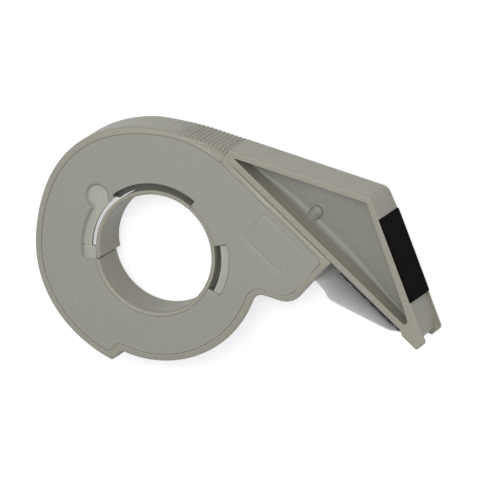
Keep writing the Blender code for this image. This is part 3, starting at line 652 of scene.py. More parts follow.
class DISPENSER_PG_sizes(bpy.types.PropertyGroup):
    """Sizes of the details that the solids leave plain."""

    rim_round: FloatProperty(
        name="Rim Rounding", description="Radius of the rim's outer edge", default=2.2 * MM, min=0.2 * MM,
        max=2.4 * MM, unit="LENGTH", subtype="DISTANCE")
    scoop_depth: FloatProperty(
        name="Scoop Depth", description="Depth of the finger scoops beside the hub", default=2.3 * MM,
        min=0.2 * MM, max=2.4 * MM, unit="LENGTH", subtype="DISTANCE")
    label_depth: FloatProperty(
        name="Label Recess Depth", description="Depth of the bare label recess", default=0.5 * MM, min=0.0,
        max=1.0 * MM, unit="LENGTH", subtype="DISTANCE")
    pad_bulge: FloatProperty(
        name="Pad Bulge", description="How far the foam pad stands out at its middle", default=0.4 * MM,
        min=0.0, max=1.0 * MM, unit="LENGTH", subtype="DISTANCE")
    boss_height: FloatProperty(
        name="Boss Height", description="Height of the half-round boss on the web", default=2.6 * MM,
        min=0.5 * MM, max=5.0 * MM, unit="LENGTH", subtype="DISTANCE")


class DISPENSER_PG_colours(bpy.types.PropertyGroup):
    """Colours of the finishes, in sRGB."""

    housing: FloatVectorProperty(
        name="Housing", description="Satin plastic of the rim, hub and handle",
        default=srgb("989688"), min=0.0, max=1.0, subtype="COLOR_GAMMA")
    face: FloatVectorProperty(
        name="Face Plate", description="Textured plastic of the face plate",
        default=srgb("95958C"), min=0.0, max=1.0, subtype="COLOR_GAMMA")
    # The strip's colour is near white, lifted as painted light so that the strip reads pale in the handle's
    # shade.
    steel: FloatVectorProperty(
        name="Bowed Strip", description="Zinc-plated steel of the bowed strip",
        default=srgb("FBFBFC"), min=0.0, max=1.0, subtype="COLOR_GAMMA")
    foam: FloatVectorProperty(
        name="Foam Pad", description="Black foam of the pad",
        default=srgb("120F10"), min=0.0, max=1.0, subtype="COLOR_GAMMA")


# Operators


class DISPENSER_OT_drum_shell(bpy.types.Operator):
    """Build the drum's wall and rim with the grip ribs"""

    bl_idname = "dispenser.drum_shell"
    bl_label = "Drum Shell"

    def execute(self, context):
        """A closed section, rim over wall, carried round the outline; where there is no wall it is short."""
        rim_round = context.scene.dispenser_sizes.rim_round / MM
        line = drum_lines()
        outer, inner, wall, walled, normal = (line[k] for k in ("outer", "inner", "wall", "walled", "normal"))
        rounding = (rim_round * line["round"])[:, None]
        toward = outer - inner
        across = np.linalg.norm(toward, axis=1)
        toward = toward / across[:, None]
        under_rim = WIDTH - RIM_DEPTH
        low = np.where(walled, 0.0, under_rim)
        rounded = line["round"] != 0
        foot_round = np.where(walled, FAR_EDGE[0], 0.9) * rounded
        foot_height = np.where(walled, FAR_EDGE[1], 0.9) * rounded
        rib = line["lift"]
        reach = np.maximum(7.5 * (1 - line["along"] / 27.0), 0.01)
        rows = [(inner + toward * 0.02, under_rim + 0.5)]
        for s, c in quarter(6):
            rows.append((inner + toward * (0.02 + GROOVE * (1 - c)), WIDTH - GROOVE * (1 - s)))
        crest = inner + toward * (GROOVE + 0.02)
        brink = outer + normal * rounding
        shoulder = WIDTH - 0.35 * line["calm"]
        for share in np.linspace(0, 1, 18)[1:]:
            plan = crest + (brink - crest) * share
            fade = np.clip(1.5 - 1.5 * np.linalg.norm(outer - plan, axis=1) / reach, 0, 1)
            fall = smooth((np.linalg.norm(plan - inner, axis=1) - 1.1) / 0.8)
            rows.append((plan, WIDTH + (shoulder - WIDTH) * fall + rib * fade))
        fade = np.clip(1.5 - 1.5 * rounding[:, 0] / reach, 0, 1)
        pushed = -normal * rib[:, None]
        for s, c in quarter(9)[1:]:
            height = shoulder - rounding[:, 0] * (1 - c) + rib * fade * c
            rows.append((brink - normal * rounding * s + pushed * s, height))
        high = shoulder - rounding[:, 0]
        for share in (0.25, 0.5, 0.75):
            rows.append((outer + pushed, high + (low + foot_height - high) * share))
        for s, c in reversed(quarter(9)):
            drawn = normal * (foot_round * (1 - s))[:, None]
            rows.append((outer + pushed + drawn, low + foot_height * (1 - c)))
        inside = np.where(walled, 0.3, 0.0)
        for s, c in quarter(4):
            rows.append((wall + (outer - wall) * 0.12 * (1 - s), low + inside * (1 - c)))
        rows.append((wall, under_rim))
        rows.append((inner + toward * 0.02, under_rim))
        shell = grid_object("drum_shell", loft(rows), close_u=True, close_v=True)
        dress(shell, satin(), nodes=["drum_frame"])
        return {"FINISHED"}


def in_slots(turned):
    """Whether angles from 0 to 360 lie in the top slot, and whether they lie in the right slot."""
    in_top = (turned > TOP_SLOT[0]) & (turned < TOP_SLOT[1])
    return in_top, (turned > RIGHT_SLOT[0]) | (turned < RIGHT_SLOT[1])


def hub_gap(turned):
    """Width of the slot between hub and face: wide at the top and right, narrow beside the finger."""
    in_top, in_right = in_slots(turned)
    slit = SLIT_GAP + SLIT_FLARE * smooth((SLIT_END - turned) / (SLIT_END - TOP_SLOT[1]))
    gap = np.where((turned >= TOP_SLOT[1]) & (turned < SLIT_END), slit, CLOSED_GAP)
    gap = np.where((turned >= SLIT_END) & (turned < TONGUE_END), -TONGUE_LAP, gap)
    return np.where(in_right, RIGHT_GAP, np.where(in_top, TOP_GAP, gap))


def round_box(across, along, radius):
    """Signed distance to a rounded rectangle from its two edge distances."""
    qa, qb = across + radius, along + radius
    return np.hypot(np.maximum(qa, 0), np.maximum(qb, 0)) + np.minimum(np.maximum(qa, qb), 0) - radius


def scoop_edge(radius, angle, scoop):
    """Signed distance to the edge of a scoop, a rounded rectangle bent round the hub."""
    far, middle, half, corner = scoop
    off = np.abs((angle - middle + 180) % 360 - 180)
    return round_box(radius - far, (off - half) * np.pi / 180 * SCOOP_RADIUS, corner)


def face_height(points, scoop_depth, label_depth):
    """Height and marks of the face: flat, less two sloping scoops, a round dip and a shallow recess; the
    marks make the scoop floors smoother and paint them lighter, a painted highlight.
    """
    radius = np.hypot(points[..., 0], points[..., 1])
    angle = bearing(points) % 360
    left = scoop_edge(radius, angle, LEFT_SCOOP)
    to_dip = points - np.array(DIP_CENTRE)
    dip = np.hypot(to_dip[..., 0], to_dip[..., 1]) - DIP_RADIUS
    mixed = np.clip(0.5 + 0.5 * (dip - left) / DIP_BLEND, 0, 1)
    left = dip * (1 - mixed) + left * mixed - DIP_BLEND * mixed * (1 - mixed)
    right = scoop_edge(radius, angle, RIGHT_SCOOP)
    band = 1 - 0.6 * smooth((46.0 - radius) / 6.5)
    across_dip = to_dip @ way(-25.0)
    blend = smooth(0.5 + across_dip / 14.0)
    slope = (1 - 0.55 * smooth((across_dip + 4.0) / 10.0)) * (1 - blend) + band * blend
    slope = np.where(angle > 150, band, slope + (band - slope) * smooth((angle - 140.0) / 10.0))
    height = WIDTH - 0.2 - scoop_depth * (smooth(-left / 1.7) * slope + smooth(-right / 1.7) * band)
    # Scoop floor marks: smoother grit, and a lighter colour that is a painted highlight.
    polish_and_painted_light = 0.6 * (smooth((-left - 1.3) / 1.2) + smooth((-right - 1.0) / 1.2))
    from_label = points - np.array(LABEL_CENTRE)
    across, along = from_label @ way(NORMAL_ANGLE), from_label @ way(LOWER_ANGLE)
    recess = round_box(np.abs(across) - LABEL_HALF[0], np.abs(along) - LABEL_HALF[1], 3.0)
    line = np.exp(-(recess / 0.65) ** 2)
    return height - label_depth * smooth(-recess / 0.5) * 0.4 - label_depth * line, polish_and_painted_light


def face_edge():
    """The plate's closed outline along the groove, with its points' angles growing all the way round."""
    first, arc, last = face_segments(RIM, polar(DRUM - RIM, NORMAL_ANGLE), INNER_STOP)
    turn = np.linspace(NORMAL_ANGLE, ARC_START, 60)
    bend = polar(drum_radius(turn) - RIM, turn)
    side = spread([first[-1], bend[0]], 60)[1:-1]
    edge = np.concatenate([first, side, bend[:-1], arc, last])
    angles = np.degrees(np.unwrap(np.radians(bearing(edge))))
    return edge, np.maximum.accumulate(angles + np.arange(len(angles)) * 1e-7)


def face_rays(angles):
    """Angles of the plate's rays: its outline's own, even ones off the drum's arc, pairs at slot ends."""
    start = angles[0]
    even = np.arange(start, start + 360, RAY_STEP)
    even = even[(even % 360 < ARC_START) | (even % 360 > INNER_STOP)]
    ends = (np.array([*TOP_SLOT, SLIT_END, TONGUE_END, *RIGHT_SLOT]) - start) % 360 + start
    rays = np.unique(np.round(np.concatenate([angles, even, ends - 0.02, ends + 0.02]), 4))
    return rays[rays < start + 359.99]


class DISPENSER_OT_face_plate(bpy.types.Operator):
    """Build the textured face plate with its scoops and bare label recess"""

    bl_idname = "dispenser.face_plate"
    bl_label = "Face Plate"

    def execute(self, context):
        """Rings from the hub's opening to the plate's outline along each ray, lifted by the face's height."""
        sizes = context.scene.dispenser_sizes
        edge, angles = face_edge()
        rays = face_rays(angles)
        turned = rays % 360
        far = np.hypot(edge[:, 0], edge[:, 1])
        reach = np.interp(rays, [*angles, angles[0] + 360], [*far, far[0]])
        near = HUB + hub_gap(turned)
        middle = np.minimum(52.0, reach - 4)
        inner_share = np.linspace(0, 1, 34)[:-1]
        outer_share = np.linspace(0, 1, 52)[:-1]
        brim = np.array([0.62, 0.5, 0.36, 0.22, 0.1, 0.03, 0.0])
        radii = np.concatenate([
            near[:, None] + (middle - near)[:, None] * inner_share,
            middle[:, None] + (reach - middle)[:, None] * outer_share,
            reach[:, None] - brim,
        ], axis=1)
        radii = np.maximum.accumulate(radii, axis=1)
        plan = radii[..., None] * way(rays)[:, None, :]
        top, polish_and_painted_light = face_height(plan, sizes.scoop_depth / MM, sizes.label_depth / MM)
        top[:, -len(brim):] -= 0.5 * (1 - np.sqrt(1 - (1 - np.clip(brim / 0.5, 0, 1)) ** 2))
        top[:, 0] -= 0.12
        # The shelves are sheets under the top and right slots that fill them with shade; their marks of -1
        # paint them darker still, painted shade.
        ledged = np.logical_or(*in_slots(turned))
        under_face = np.full(len(rays), WIDTH - PLATE_DEPTH)
        shelf = np.where(ledged, WIDTH - SHELF_DEPTH, under_face)
        under_shelf = shelf - SHELF_THICK * ledged
        lip = np.where(ledged, HUB + 0.35, near)
        levels = [
            (reach, under_face), (near + 1.3, under_face), (near + 1.3, under_shelf), (lip, under_shelf),
            (lip, shelf), (near, shelf),
        ]
        below = np.stack([np.column_stack([polar(r, rays), height]) for r, height in levels], axis=1)
        points = np.concatenate([np.concatenate([plan, top[..., None]], axis=-1), below], axis=1)
        shelf_painted_shade = np.broadcast_to([0, 0, -1, -1, -1, -1], (len(rays), len(levels)))
        marks = np.concatenate([polish_and_painted_light, shelf_painted_shade], axis=1)
        plate = grid_object("face_plate", points, close_u=True, close_v=True, marks=marks)
        dress(plate, sparked(), nodes=["side_plate"])
        return {"FINISHED"}


def hub_piece(name, start, stop, count, draw_low, draw_high, lip):
    """The hub's wall carried round its axis: a rounded section, drawn in and lipped by the way along it."""
    low, top = WIDTH - HUB_DEPTH, WIDTH
    inner, outer = HUB - HUB_WALL, HUB
    s, c = np.array(quarter(9)).T
    radii = np.concatenate([
        [inner, inner + 0.4, outer - 0.4, outer, outer, outer, outer, outer, outer, outer],
        outer - 0.5 * (1 - c), inner + 2.0 * (1 - s), [inner, inner, inner],
    ])
    high = low + (top - low) * np.array([0.35, 0.6, 0.85])
    heights = np.concatenate([
        [low + 0.4, low, low, low + 0.4, low + 0.9, low + 1.7, low + 2.2], high,
        top - 0.5 + 0.5 * s, top - 2.0 * (1 - c), high[::-1] - 0.8,
    ])
    lipped = np.zeros(len(radii))
    lipped[2:6] = 1.0, 1.0, 1.0, 0.2
    angles = np.concatenate([[start], np.linspace(start + 0.3, stop - 0.3, count), [stop]])
    share = ((heights - low) / (top - low))[None, :]
    along = ((angles - start) / (stop - start))[:, None]
    rim = radii + lipped * lip(angles)[:, None] - (draw_low * (1 - share) + draw_high * share) * along ** 2
    plan = rim[..., None] * way(angles)[:, None, :]
    grid = np.concatenate([plan, np.broadcast_to(heights[:, None], (*rim.shape, 1))], axis=-1)
    middle = grid[[0, -1]].mean(axis=1, keepdims=True)
    grid[[0, -1]] = middle + (grid[[0, -1]] - middle) * np.array([0.86, 0.86, 0.985])
    return grid_object(name, grid, close_v=True, cap_u=True, sharp=42.0)


def finger_lip(angles):
    """How far the finger's catch stands out at its low edge: a smooth step up and a smooth step down."""
    height, start, span = LIP
    reach = (angles - start) / span
    return height * smooth(4 * reach) * smooth(4 * (1 - reach))


class DISPENSER_OT_hub(bpy.types.Operator):
    """Build the hub's fixed ring and its springy finger"""

    bl_idname = "dispenser.hub"
    bl_label = "Hub"

    def execute(self, context):
        """The ring is round; the finger is drawn in by the square of the way along it, more at its foot."""
        gap = np.degrees(SPLIT_GAP / HUB) / 2
        end_gap = np.degrees(FINGER_GAP / HUB) / 2
        start, stop = FINGER_END + end_gap, HUB_SPLIT + 360 - gap
        ring = hub_piece("hub_wall", start, stop, 186, 0.0, 0.0, np.zeros_like)
        dress(ring, satin(), nodes=["hub_ring"])
        start, stop = HUB_SPLIT + gap, FINGER_END - end_gap
        finger = hub_piece("hub_spring_finger", start, stop, 116, *FINGER_DRAW, finger_lip)
        dress(finger, satin(), body="finger", nodes=["hub_finger"])
        return {"FINISHED"}


def pocket_corners(grow):
    """The three corners of the handle's pocket, moved out by grow."""
    on_top = TOP_START - (TOP_WALL - grow) * way(TOP_NORMAL)
    on_lower = under(0, LOWER_WALL - grow)
    high, low = front(0, 2.8 - grow), front(91.0, 5.6 - grow)
    angle = np.degrees(np.arctan2(*(low - high)[::-1]))
    apex = meet(on_top, TOP_ANGLE, on_lower, LOWER_ANGLE)
    toe = meet(on_lower, LOWER_ANGLE, high, angle)
    return apex, toe, meet(high, angle, on_top, TOP_ANGLE)


def draft_share(count):
    """Share of the draft at even steps along the pocket's lower wall: none at its ends, all of it between."""
    along = np.linspace(0, 1, count)
    return smooth(2.8 * along) * smooth(2.4 * (1 - along))


def joined(lines, counts):
    """A closed line from stretches put end to end, each spread evenly over its own count of points."""
    return np.concatenate([spread(line, count + 1)[:-1] for line, count in zip(lines, counts)])


def handle_lines():
    """The handle's matched outlines: at the ears, with the front channel, with the notch, and the pocket."""
    pad_high, pad_low = PAD_START - PAD_GAP, PAD_START + PAD_LENGTH + PAD_GAP
    start, heel = under(15.0, 0.0), under(11.5, -EAR_DROP)
    back = fillet(heel, EAR_BACK, EAR_FRONT, 1.6, 9)
    nose = fillet(EAR_BACK, EAR_FRONT, FRONT_CORNER, 2.2, 9)
    brow = fillet(EAR_FRONT, FRONT_CORNER, HANDLE_CORNER, 7.0, 20)
    lower, ear_back = [HANDLE_ROOT, start], [start, heel, *back]
    channel_front = [front(pad_low, CHANNEL), front(pad_high, CHANNEL)]
    upper = [
        [front(pad_high, 0), *brow], [brow[-1], HANDLE_CORNER], [HANDLE_CORNER, HANDLE_CORNER],
        [HANDLE_CORNER - SEAM_DROP * way(TOP_NORMAL), HANDLE_ROOT],
    ]
    ear = joined([
        lower, ear_back, [back[-1], *nose, front(EAR_START, 0)],
        [front(EAR_START, 0), front(pad_low, 0)], [front(pad_low, 0), front(pad_high, 0)], *upper,
    ], COUNTS)
    channel = joined([
        lower, ear_back, [back[-1], front(89.5, CHANNEL), front(EAR_START, CHANNEL)],
        [front(EAR_START, CHANNEL), front(pad_low, CHANNEL)], channel_front, *upper,
    ], COUNTS)
    wedge, rise = front(86.4, 3.0), front(EAR_START, CHANNEL + 0.5)
    ceiling = meet(wedge, TIP_ANGLE, under(0, NOTCH_CEILING), LOWER_ANGLE)
    notch = joined([
        lower, [start, ceiling], [ceiling, *fillet(ceiling, wedge, rise, 0.8, 7), rise],
        [rise, front(pad_low, CHANNEL)], channel_front, *upper,
    ], COUNTS)
    apex, toe, crown = pocket_corners(0.0)
    toe_arc, crown_arc = fillet(apex, toe, crown, 2.6, 13), fillet(toe, crown, apex, 4.5, 13)
    apex_arc, behind_pad = fillet(crown, apex, toe, 1.0, 9), front(pad_low, 4.4)
    pocket = joined([
        [apex_arc[-1], toe_arc[0]], toe_arc[:7], toe_arc[6:], [toe_arc[-1], behind_pad],
        [behind_pad, crown_arc[0]], crown_arc, [crown_arc[-1], apex_arc[0]], [apex_arc[0], apex_arc[0]],
        apex_arc,
    ], COUNTS)
    return ear, channel, notch, pocket


class DISPENSER_OT_handle(bpy.types.Operator):
    """Build the handle's walls, front channel and the two ears of the tip"""

    bl_idname = "dispenser.handle"
    bl_label = "Handle"

    def execute(self, context):
        """Outlines blended over the width, ears to channel to notch, with rounded edges to the pocket."""
        ear, channel, notch, pocket = handle_lines()
        share = np.ones(len(ear))
        share[:LOWER_COUNT] = smooth(np.linalg.norm(ear[:LOWER_COUNT] - HANDLE_ROOT, axis=1) / SEAM_FADE)
        share[-SEAM_COUNT:] = 0.0
        normal = inward(ear)
        normal[-SEAM_COUNT - 1] = -way(TOP_NORMAL)
        normal[:LOWER_COUNT] = way(NORMAL_ANGLE)
        turned = normal * (SIDE_EDGE * share)[:, None]
        index = np.arange(len(ear))
        top_wall = np.clip((index - BROW_AT) / BROW_COUNT, 0, 1) * (index < len(ear) - SEAM_COUNT)
        in_plan, in_height = (SIDE_EDGE + (size - SIDE_EDGE) * top_wall for size in FAR_EDGE)
        drawn = normal * (in_plan * share)[:, None]
        hollow = -inward(pocket) * POCKET_EDGE
        to_tip = np.linalg.norm(ear - EAR_FRONT, axis=1)
        far_ear = ear - way(FRONT_ANGLE) * (FAR_EAR_SHORT * smooth((13.0 - to_tip) / 6.0))[:, None]
        rows = []
        for s, c in quarter(6):
            rows.append((pocket - hollow * (1 - c), WIDTH - POCKET_EDGE * (1 - s)))
        lip, brink = pocket - hollow, ear + turned
        for part in (0.33, 0.66):
            rows.append((lip + (brink - lip) * part, WIDTH))
        for s, c in quarter(7):
            rows.append((ear + turned * (1 - s), WIDTH - SIDE_EDGE * share * (1 - c)))
        for height, to_channel, to_notch in (
            (29.6, 0, 0), (29.45, 1, 0), (27.75, 1, 0), (27.6, 1, 1), (21, 1, 1), (15.5, 1, 1), (10, 1, 1),
            (3.4, 1, 1), (3.25, 1, 0), (1.55, 1, 0), (1.4, 0, 0),
        ):
            shift = 0.0 if height > 12 else far_ear - ear
            plan = ear + (channel - ear) * to_channel + shift
            rows.append((plan + (notch - plan) * to_notch, np.maximum(height, in_height * share + 0.01)))
        for s, c in reversed(quarter(9)):
            rows.append((far_ear + drawn * (1 - s), in_height * share * (1 - c)))
        for part in (0.66, 0.33):
            rows.append((lip + (far_ear + drawn - lip) * part, 0.0))
        for s, c in reversed(quarter(6)):
            rows.append((pocket - hollow * (1 - c), POCKET_EDGE * (1 - s)))
        draft = np.zeros(len(pocket))
        draft[:LOWER_COUNT] = POCKET_DRAFT * draft_share(LOWER_COUNT)
        web_top = WIDTH - POCKET_DEPTH
        for height, depth in ((8.0, 0.49), (web_top - WEB, 1.0), (web_top, 1.0), (24.8, 0.5)):
            rows.append((pocket + inward(pocket) * (draft * depth)[:, None], height))
        shell = grid_object("handle_shell", loft(rows), close_u=True, close_v=True)
        dress(shell, satin(), nodes=["handle_frame"])
        return {"FINISHED"}


class DISPENSER_OT_web(bpy.types.Operator):
    """Build the web inside the handle and its half-round boss"""

    bl_idname = "dispenser.web"
    bl_label = "Handle Web"

    def execute(self, context):
        """A plate with a cove that follows the pocket's draft; the boss is half an ellipse round a line."""
        top = WIDTH - POCKET_DEPTH
        apex, toe, crown = pocket_corners(0.15)
        toe_arc, crown_arc = fillet(apex, toe, crown, 2.7, 13), fillet(toe, crown, apex, 4.6, 13)
        apex_arc = fillet(crown, apex, toe, 1.1, 9)
        counts = (60, 16, 40, 16, 60, 9)
        edge = joined([
            [apex_arc[-1], toe_arc[0]], toe_arc, [toe_arc[-1], crown_arc[0]], crown_arc,
            [crown_arc[-1], apex_arc[0]], apex_arc,
        ], counts)
        into = inward(edge)
        share = np.zeros(len(edge))
        share[:counts[0]] = draft_share(counts[0])
        draft, cove = POCKET_DRAFT * share, 0.9 + 3.6 * share
        rows = [(edge + into * (draft + cove + 0.05 + 0.45 * share)[:, None], top)]
        for s, c in quarter(9):
            height = top + cove * (1 - c)
            shift = draft * (WIDTH - height) / POCKET_DEPTH + cove * (1 - s)
            rows.append((edge + into * shift[:, None], height))
        rows += [(edge, top + cove), (edge, top - WEB)]
        web = grid_object("handle_web_panel", np.swapaxes(loft(rows), 0, 1), close_v=True, cap_u=True)
        height = context.scene.dispenser_sizes.boss_height / MM
        base, tip = under(BOSS_AT, 2.4), under(BOSS_AT, LOWER_WALL) + BOSS_REACH * way(NORMAL_ANGLE)
        turn = np.linspace(-90, 90, 41) + NORMAL_ANGLE
        side = BOSS_HALF * way(LOWER_ANGLE)
        out, back = spread([base, tip], 20), spread([tip, base], 20)
        axis = np.concatenate([out, np.tile(tip, (len(turn), 1)), back])
        rim = np.concatenate([out - side, tip + BOSS_HALF * way(turn), back + side])
        rows = [(axis + (rim - axis) * 1.25, top + 0.02), (axis + (rim - axis) * 1.08, top + 0.12)]
        for s, c in quarter(9):
            rows.append((axis + (rim - axis) * c, top + 0.3 + (height - 0.3) * s))
        rows.append((axis, top - 1.0))
        rows.append((axis + (rim - axis) * 1.25, top - 1.0))
        boss = grid_object("web_boss", loft(rows), close_u=True, close_v=True)
        # The web and boss take the darker ABS, painted shade for the handle's pocket.
        dress(web, pocket_shade_abs(), nodes=["handle_web"])
        dress(boss, pocket_shade_abs())
        return {"FINISHED"}


class DISPENSER_OT_bowed_strip(bpy.types.Operator):
    """Build the bowed steel strip under the handle"""

    bl_idname = "dispenser.bowed_strip"
    bl_label = "Bowed Strip"

    def execute(self, context):
        """A thin rounded section along a line that bends twice, leaning inward, narrower under the lobe."""
        half = STRIP / 2
        middle = NOTCH_CEILING - SEAT_GAP - BLADE - SEAT_GAP - half
        corners = [under(SEAT_END + SEAT_GAP + half, middle)]
        for length, angle in STRIP_RUNS:
            corners.append(corners[-1] + length * way(angle))
        root, bend, knee, end = corners
        first_bend, second_bend = fillet(root, bend, knee, 14.0, 8), fillet(bend, knee, end, 21.0, 24)
        path = spread([root, *first_bend, *second_bend, end], 120)
        run = np.linspace(0, STRIP_LENGTH, len(path))
        lean = (3.6 * smooth(run / 25.0) + 3.2 * smooth((run - 42.0) / 22.0))[:, None]
        along = np.gradient(path, axis=0)
        along = along / np.linalg.norm(along, axis=1)[:, None]
        across = np.stack([-along[:, 1], along[:, 0]], axis=-1)
        widening = smooth((run - 3.0) / 9.0)
        under_lobe = smooth((run - 48.0) / 6.0)
        low, high = 3.8 - 2.6 * widening, WIDTH - 3.8 + 2.2 * widening - 3.0 * under_lobe
        rows = []
        turn = np.linspace(-np.pi / 2, np.pi / 2, 7)
        for s, c in zip(np.sin(turn), np.cos(turn)):
            rows.append((path + across * half * s, high - half + half * c))
        for s, c in zip(np.sin(turn[::-1]), np.cos(turn[::-1])):
            rows.append((path + across * half * s + lean * way(NORMAL_ANGLE), low + half - half * c))
        strip = grid_object("bowed_strip", loft(rows), close_v=True, cap_u=True)
        # Near-white diffuse colour: painted light that keeps the strip pale in the handle's shade.
        steel = plated_steel("matt spring steel lightened as painted light", tuple(colours().steel), 0.6, 2.5, 0.0)
        dress(strip, steel, body="spring", nodes=["bow_spring"])
        return {"FINISHED"}


class DISPENSER_OT_foam_pad(bpy.types.Operator):
    """Build the foam pad on the front and the layer behind it"""

    bl_idname = "dispenser.foam_pad"
    bl_label = "Foam Pad"

    def execute(self, context):
        """A slab with rounded edges, raised along its middle by the product of two half sines."""
        bulge = context.scene.dispenser_sizes.pad_bulge / MM
        base, face = 1.0, bulge - 1.4
        start, length = PAD_START - 1.2, PAD_LENGTH
        low, high = 1.1, WIDTH - 0.15
        width = high - low
        uu, vv = np.meshgrid(np.linspace(0, 1, 90), np.linspace(0, 1, 48), indexing="ij")
        near_edge = np.minimum(np.minimum(uu, 1 - uu) * length, np.minimum(vv, 1 - vv) * width)
        edge = 0.8
        drop = edge * (1 - np.sqrt(np.clip(1 - (1 - np.clip(near_edge / edge, 0, 1)) ** 2, 0, 1)))
        crown = bulge * np.sin(np.pi * uu) ** 0.6 * np.sin(np.pi * vv) ** 0.6
        heights = (low + width * vv)[..., None]
        upper = np.concatenate([front(start + length * uu, face - crown + drop), heights], axis=-1)
        lower = np.concatenate([front(start + length * uu, np.full(uu.shape, base)), heights], axis=-1)
        ends = np.concatenate([upper, lower[:, ::-1]], axis=1)
        pad = grid_object("foam_pad", ends, close_v=True, cap_u=True, sharp=50.0)
        dress(pad, open_foam("open-cell black foam", tuple(colours().foam)),
              nodes=["wiper_pad", "pad_backing"])
        return {"FINISHED"}


class DISPENSER_OT_rubber_strip(bpy.types.Operator):
    """Build the black strip under the handle"""

    bl_idname = "dispenser.rubber_strip"
    bl_label = "Rubber Strip"

    def execute(self, context):
        """A flat section carried along the underside, its lower side waved by a steep sine every 7 mm."""
        run = np.linspace(15.2, 62.8, 160)
        jag = 0.16 * np.clip(np.sin(2 * np.pi * run / 7.0) * 3, -1, 1)
        start = under(run, np.full(run.shape, 0.05))
        out = -way(NORMAL_ANGLE)
        thick = 1.0 + 0.6 * smooth((run - 15.0) / 12.0) + jag
        low, high, edge = 1.0, WIDTH - 1.0, 0.2
        rows = [(start, low), (start, high)]
        for s, c in quarter(4):
            rows.append((start + out * (thick - edge + edge * s)[:, None], high - edge * (1 - c)))
        for s, c in reversed(quarter(4)):
            rows.append((start + out * (thick - edge + edge * s)[:, None], low + edge * (1 - c)))
        strip = grid_object("rubber_strip", loft(rows), close_v=True, cap_u=True)
        dress(strip, cast_rubber("black rubber strip", "121212"), nodes=["stop_strip"])
        return {"FINISHED"}


class DISPENSER_OT_tip_metal(bpy.types.Operator):
    """Give the blade, the strip's foot and the rivets their finishes"""

    bl_idname = "dispenser.tip_metal"
    bl_label = "Tip Metal"

    def execute(self, context):
        """The nodes' own shapes are kept, and their slots get ground and zinc-plated steel."""
        ground = plated_steel("ground blade steel", "B4B4B2", 0.32, 0.8)
        plated = plated_steel("zinc-plated rivet steel", "C0C0BE", 0.40, 1.5)
        for name, material in (
            ("cutter_blade", ground), ("spring_foot", plated),
            ("blade_rivet_1", plated), ("blade_rivet_2", plated),
        ):
            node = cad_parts[name]
            node.data.materials.clear()
            node.data.materials.append(material)
        return {"FINISHED"}


class DISPENSER_OT_stage(bpy.types.Operator):
    """Build the floor, the lights and the camera"""

    bl_idname = "dispenser.stage"
    bl_label = "Stage"

    def execute(self, context):
        """A broad flat floor under the open side, soft lamps, and a long lens at the photograph's angle."""
        scene = context.scene
        line = np.linspace(-FLOOR_SIZE, FLOOR_SIZE, 5)
        xx, yy = np.meshgrid(line, line, indexing="ij")
        floor = grid_object("floor", np.stack([xx, yy, np.full(xx.shape, -0.05)], axis=-1))
        floor.data.materials.append(pale_floor())
        world = bpy.data.worlds.new("soft studio")
        scene.world = world
        world.use_nodes = True
        tree = world.node_tree
        back = tree.nodes["Background"]
        level = add(tree, "ShaderNodeMapRange", Value=shown(tree), **{"To Min": WORLD_LIGHT})
        back.inputs["Color"].default_value = (1.0, 1.0, 1.0, 1.0)
        tree.links.new(level.outputs["Result"], back.inputs["Strength"])
        for lamp in LAMPS:
            add_lamp(*lamp)
        place_camera(scene)
        scene.view_settings.view_transform = "Standard"
        return {"FINISHED"}


def shown(tree):
    """One for rays from the camera, a reflection or glass, and nought for light that falls on things."""
    path = add(tree, "ShaderNodeLightPath")
    seen = add(tree, "ShaderNodeMath", {"operation": "MAXIMUM"}, i0=path.outputs["Is Camera Ray"],
               i1=path.outputs["Is Glossy Ray"])
    both = add(tree, "ShaderNodeMath", {"operation": "MAXIMUM"}, i0=seen.outputs[0],
               i1=path.outputs["Is Transmission Ray"])
    return both.outputs[0]


def pale_floor():
    """White studio sweep: partly lit and partly shown white, so that the shadow stays soft and pale."""
    material, tree, shader = new_material("white studio sweep")
    shader.inputs["Base Color"].default_value = linear("DEDEE2")
    shader.inputs["Roughness"].default_value = 0.9
    shader.inputs["Specular IOR Level"].default_value = 0.0
    camera = add(tree, "ShaderNodeLightPath").outputs["Is Camera Ray"]
    faint = add(tree, "ShaderNodeMath", {"operation": "MULTIPLY"}, i0=shown(tree), i1=FLOOR_REFLECTED)
    glow = add(tree, "ShaderNodeMath", {"operation": "MULTIPLY_ADD"}, i0=camera, i1=FLOOR_SHOWN,
               i2=faint.outputs[0])
    shader.inputs["Emission Color"].default_value = (0.985, 0.985, 1.0, 1)
    tree.links.new(glow.outputs[0], shader.inputs["Emission Strength"])
    return material


def add_lamp(name, place, power):
    """A square lamp at a place over the plan, aimed at the middle of the dispenser."""
    data = bpy.data.lights.new(name, "AREA")
    data.shape = "SQUARE"
    data.size = LAMP_SIZE * MM
    data.energy = power
    lamp = bpy.data.objects.new(name, data)
    where = to_row(place)
    towards = Vector((where - to_row(LAMP_AIM)).tolist())
    lamp.matrix_world = Matrix.Translation(where) @ towards.to_track_quat("Z", "Y").to_matrix().to_4x4()
    bpy.context.scene.collection.objects.link(lamp)


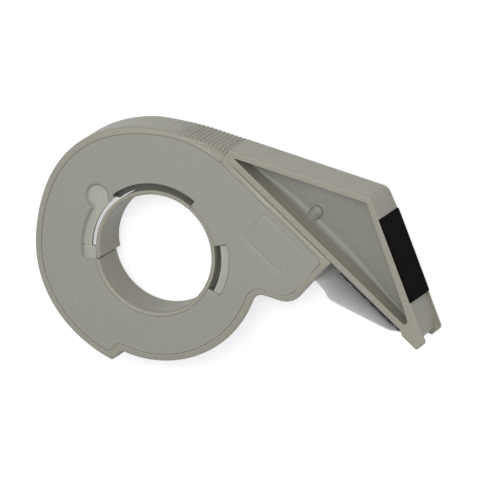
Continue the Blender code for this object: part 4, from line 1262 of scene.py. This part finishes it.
def place_camera(scene):
    """The camera, turned about a level axis in the plan and moved back along its own view from its aim."""
    tilt, toward = np.radians(CAMERA_TILT), np.radians(CAMERA_TOWARD)
    axis = np.array([-np.sin(toward), np.cos(toward), 0.0])
    still = np.outer(axis, axis)
    turned = np.eye(3) * np.cos(tilt) + np.cross(axis, np.eye(3)) * np.sin(tilt) + still * (1 - np.cos(tilt))
    data = bpy.data.cameras.new("photo camera")
    data.sensor_width = 36.0
    data.lens = LENS
    data.clip_end = 100.0
    camera = bpy.data.objects.new("photo camera", data)
    place = to_row(np.array([*CAMERA_AIM, WIDTH]) + CAMERA_DISTANCE * turned[2])
    camera.matrix_world = Matrix.Translation(place) @ Matrix(turned.T.tolist()).to_4x4()
    scene.collection.objects.link(camera)
    scene.camera = camera


OPERATORS = (
    DISPENSER_OT_drum_shell, DISPENSER_OT_face_plate, DISPENSER_OT_hub, DISPENSER_OT_handle, DISPENSER_OT_web,
    DISPENSER_OT_bowed_strip, DISPENSER_OT_foam_pad, DISPENSER_OT_rubber_strip, DISPENSER_OT_tip_metal,
    DISPENSER_OT_stage,
)


class DISPENSER_PT_panel(bpy.types.Panel):
    """Lists the dispenser's pieces, sizes and colours"""

    bl_idname = "DISPENSER_PT_panel"
    bl_label = "Strapping Tape Dispenser"
    bl_space_type = "VIEW_3D"
    bl_region_type = "UI"
    bl_category = "Dispenser"

    def draw(self, context):
        """One button per piece, then the sizes and colours."""
        column = self.layout.column(align=True)
        for operator in OPERATORS:
            column.operator(operator.bl_idname)
        for group in (context.scene.dispenser_sizes, context.scene.dispenser_colours):
            box = self.layout.box()
            for name in group.__annotations__:
                box.prop(group, name)


CLASSES = (DISPENSER_PG_sizes, DISPENSER_PG_colours, *OPERATORS, DISPENSER_PT_panel)


def register():
    """Registers the classes and hangs both property groups on the scene."""
    for cls in CLASSES:
        bpy.utils.register_class(cls)
    bpy.types.Scene.dispenser_sizes = PointerProperty(type=DISPENSER_PG_sizes)
    bpy.types.Scene.dispenser_colours = PointerProperty(type=DISPENSER_PG_colours)


def unregister():
    """Takes away what register() added."""
    del bpy.types.Scene.dispenser_colours
    del bpy.types.Scene.dispenser_sizes
    for cls in reversed(CLASSES):
        bpy.utils.unregister_class(cls)


def main():
    """Runs every operator in order."""
    register()
    for operator in OPERATORS:
        group, name = operator.bl_idname.split(".")
        getattr(getattr(bpy.ops, group), name)()


if __name__ == "__main__":
    main()
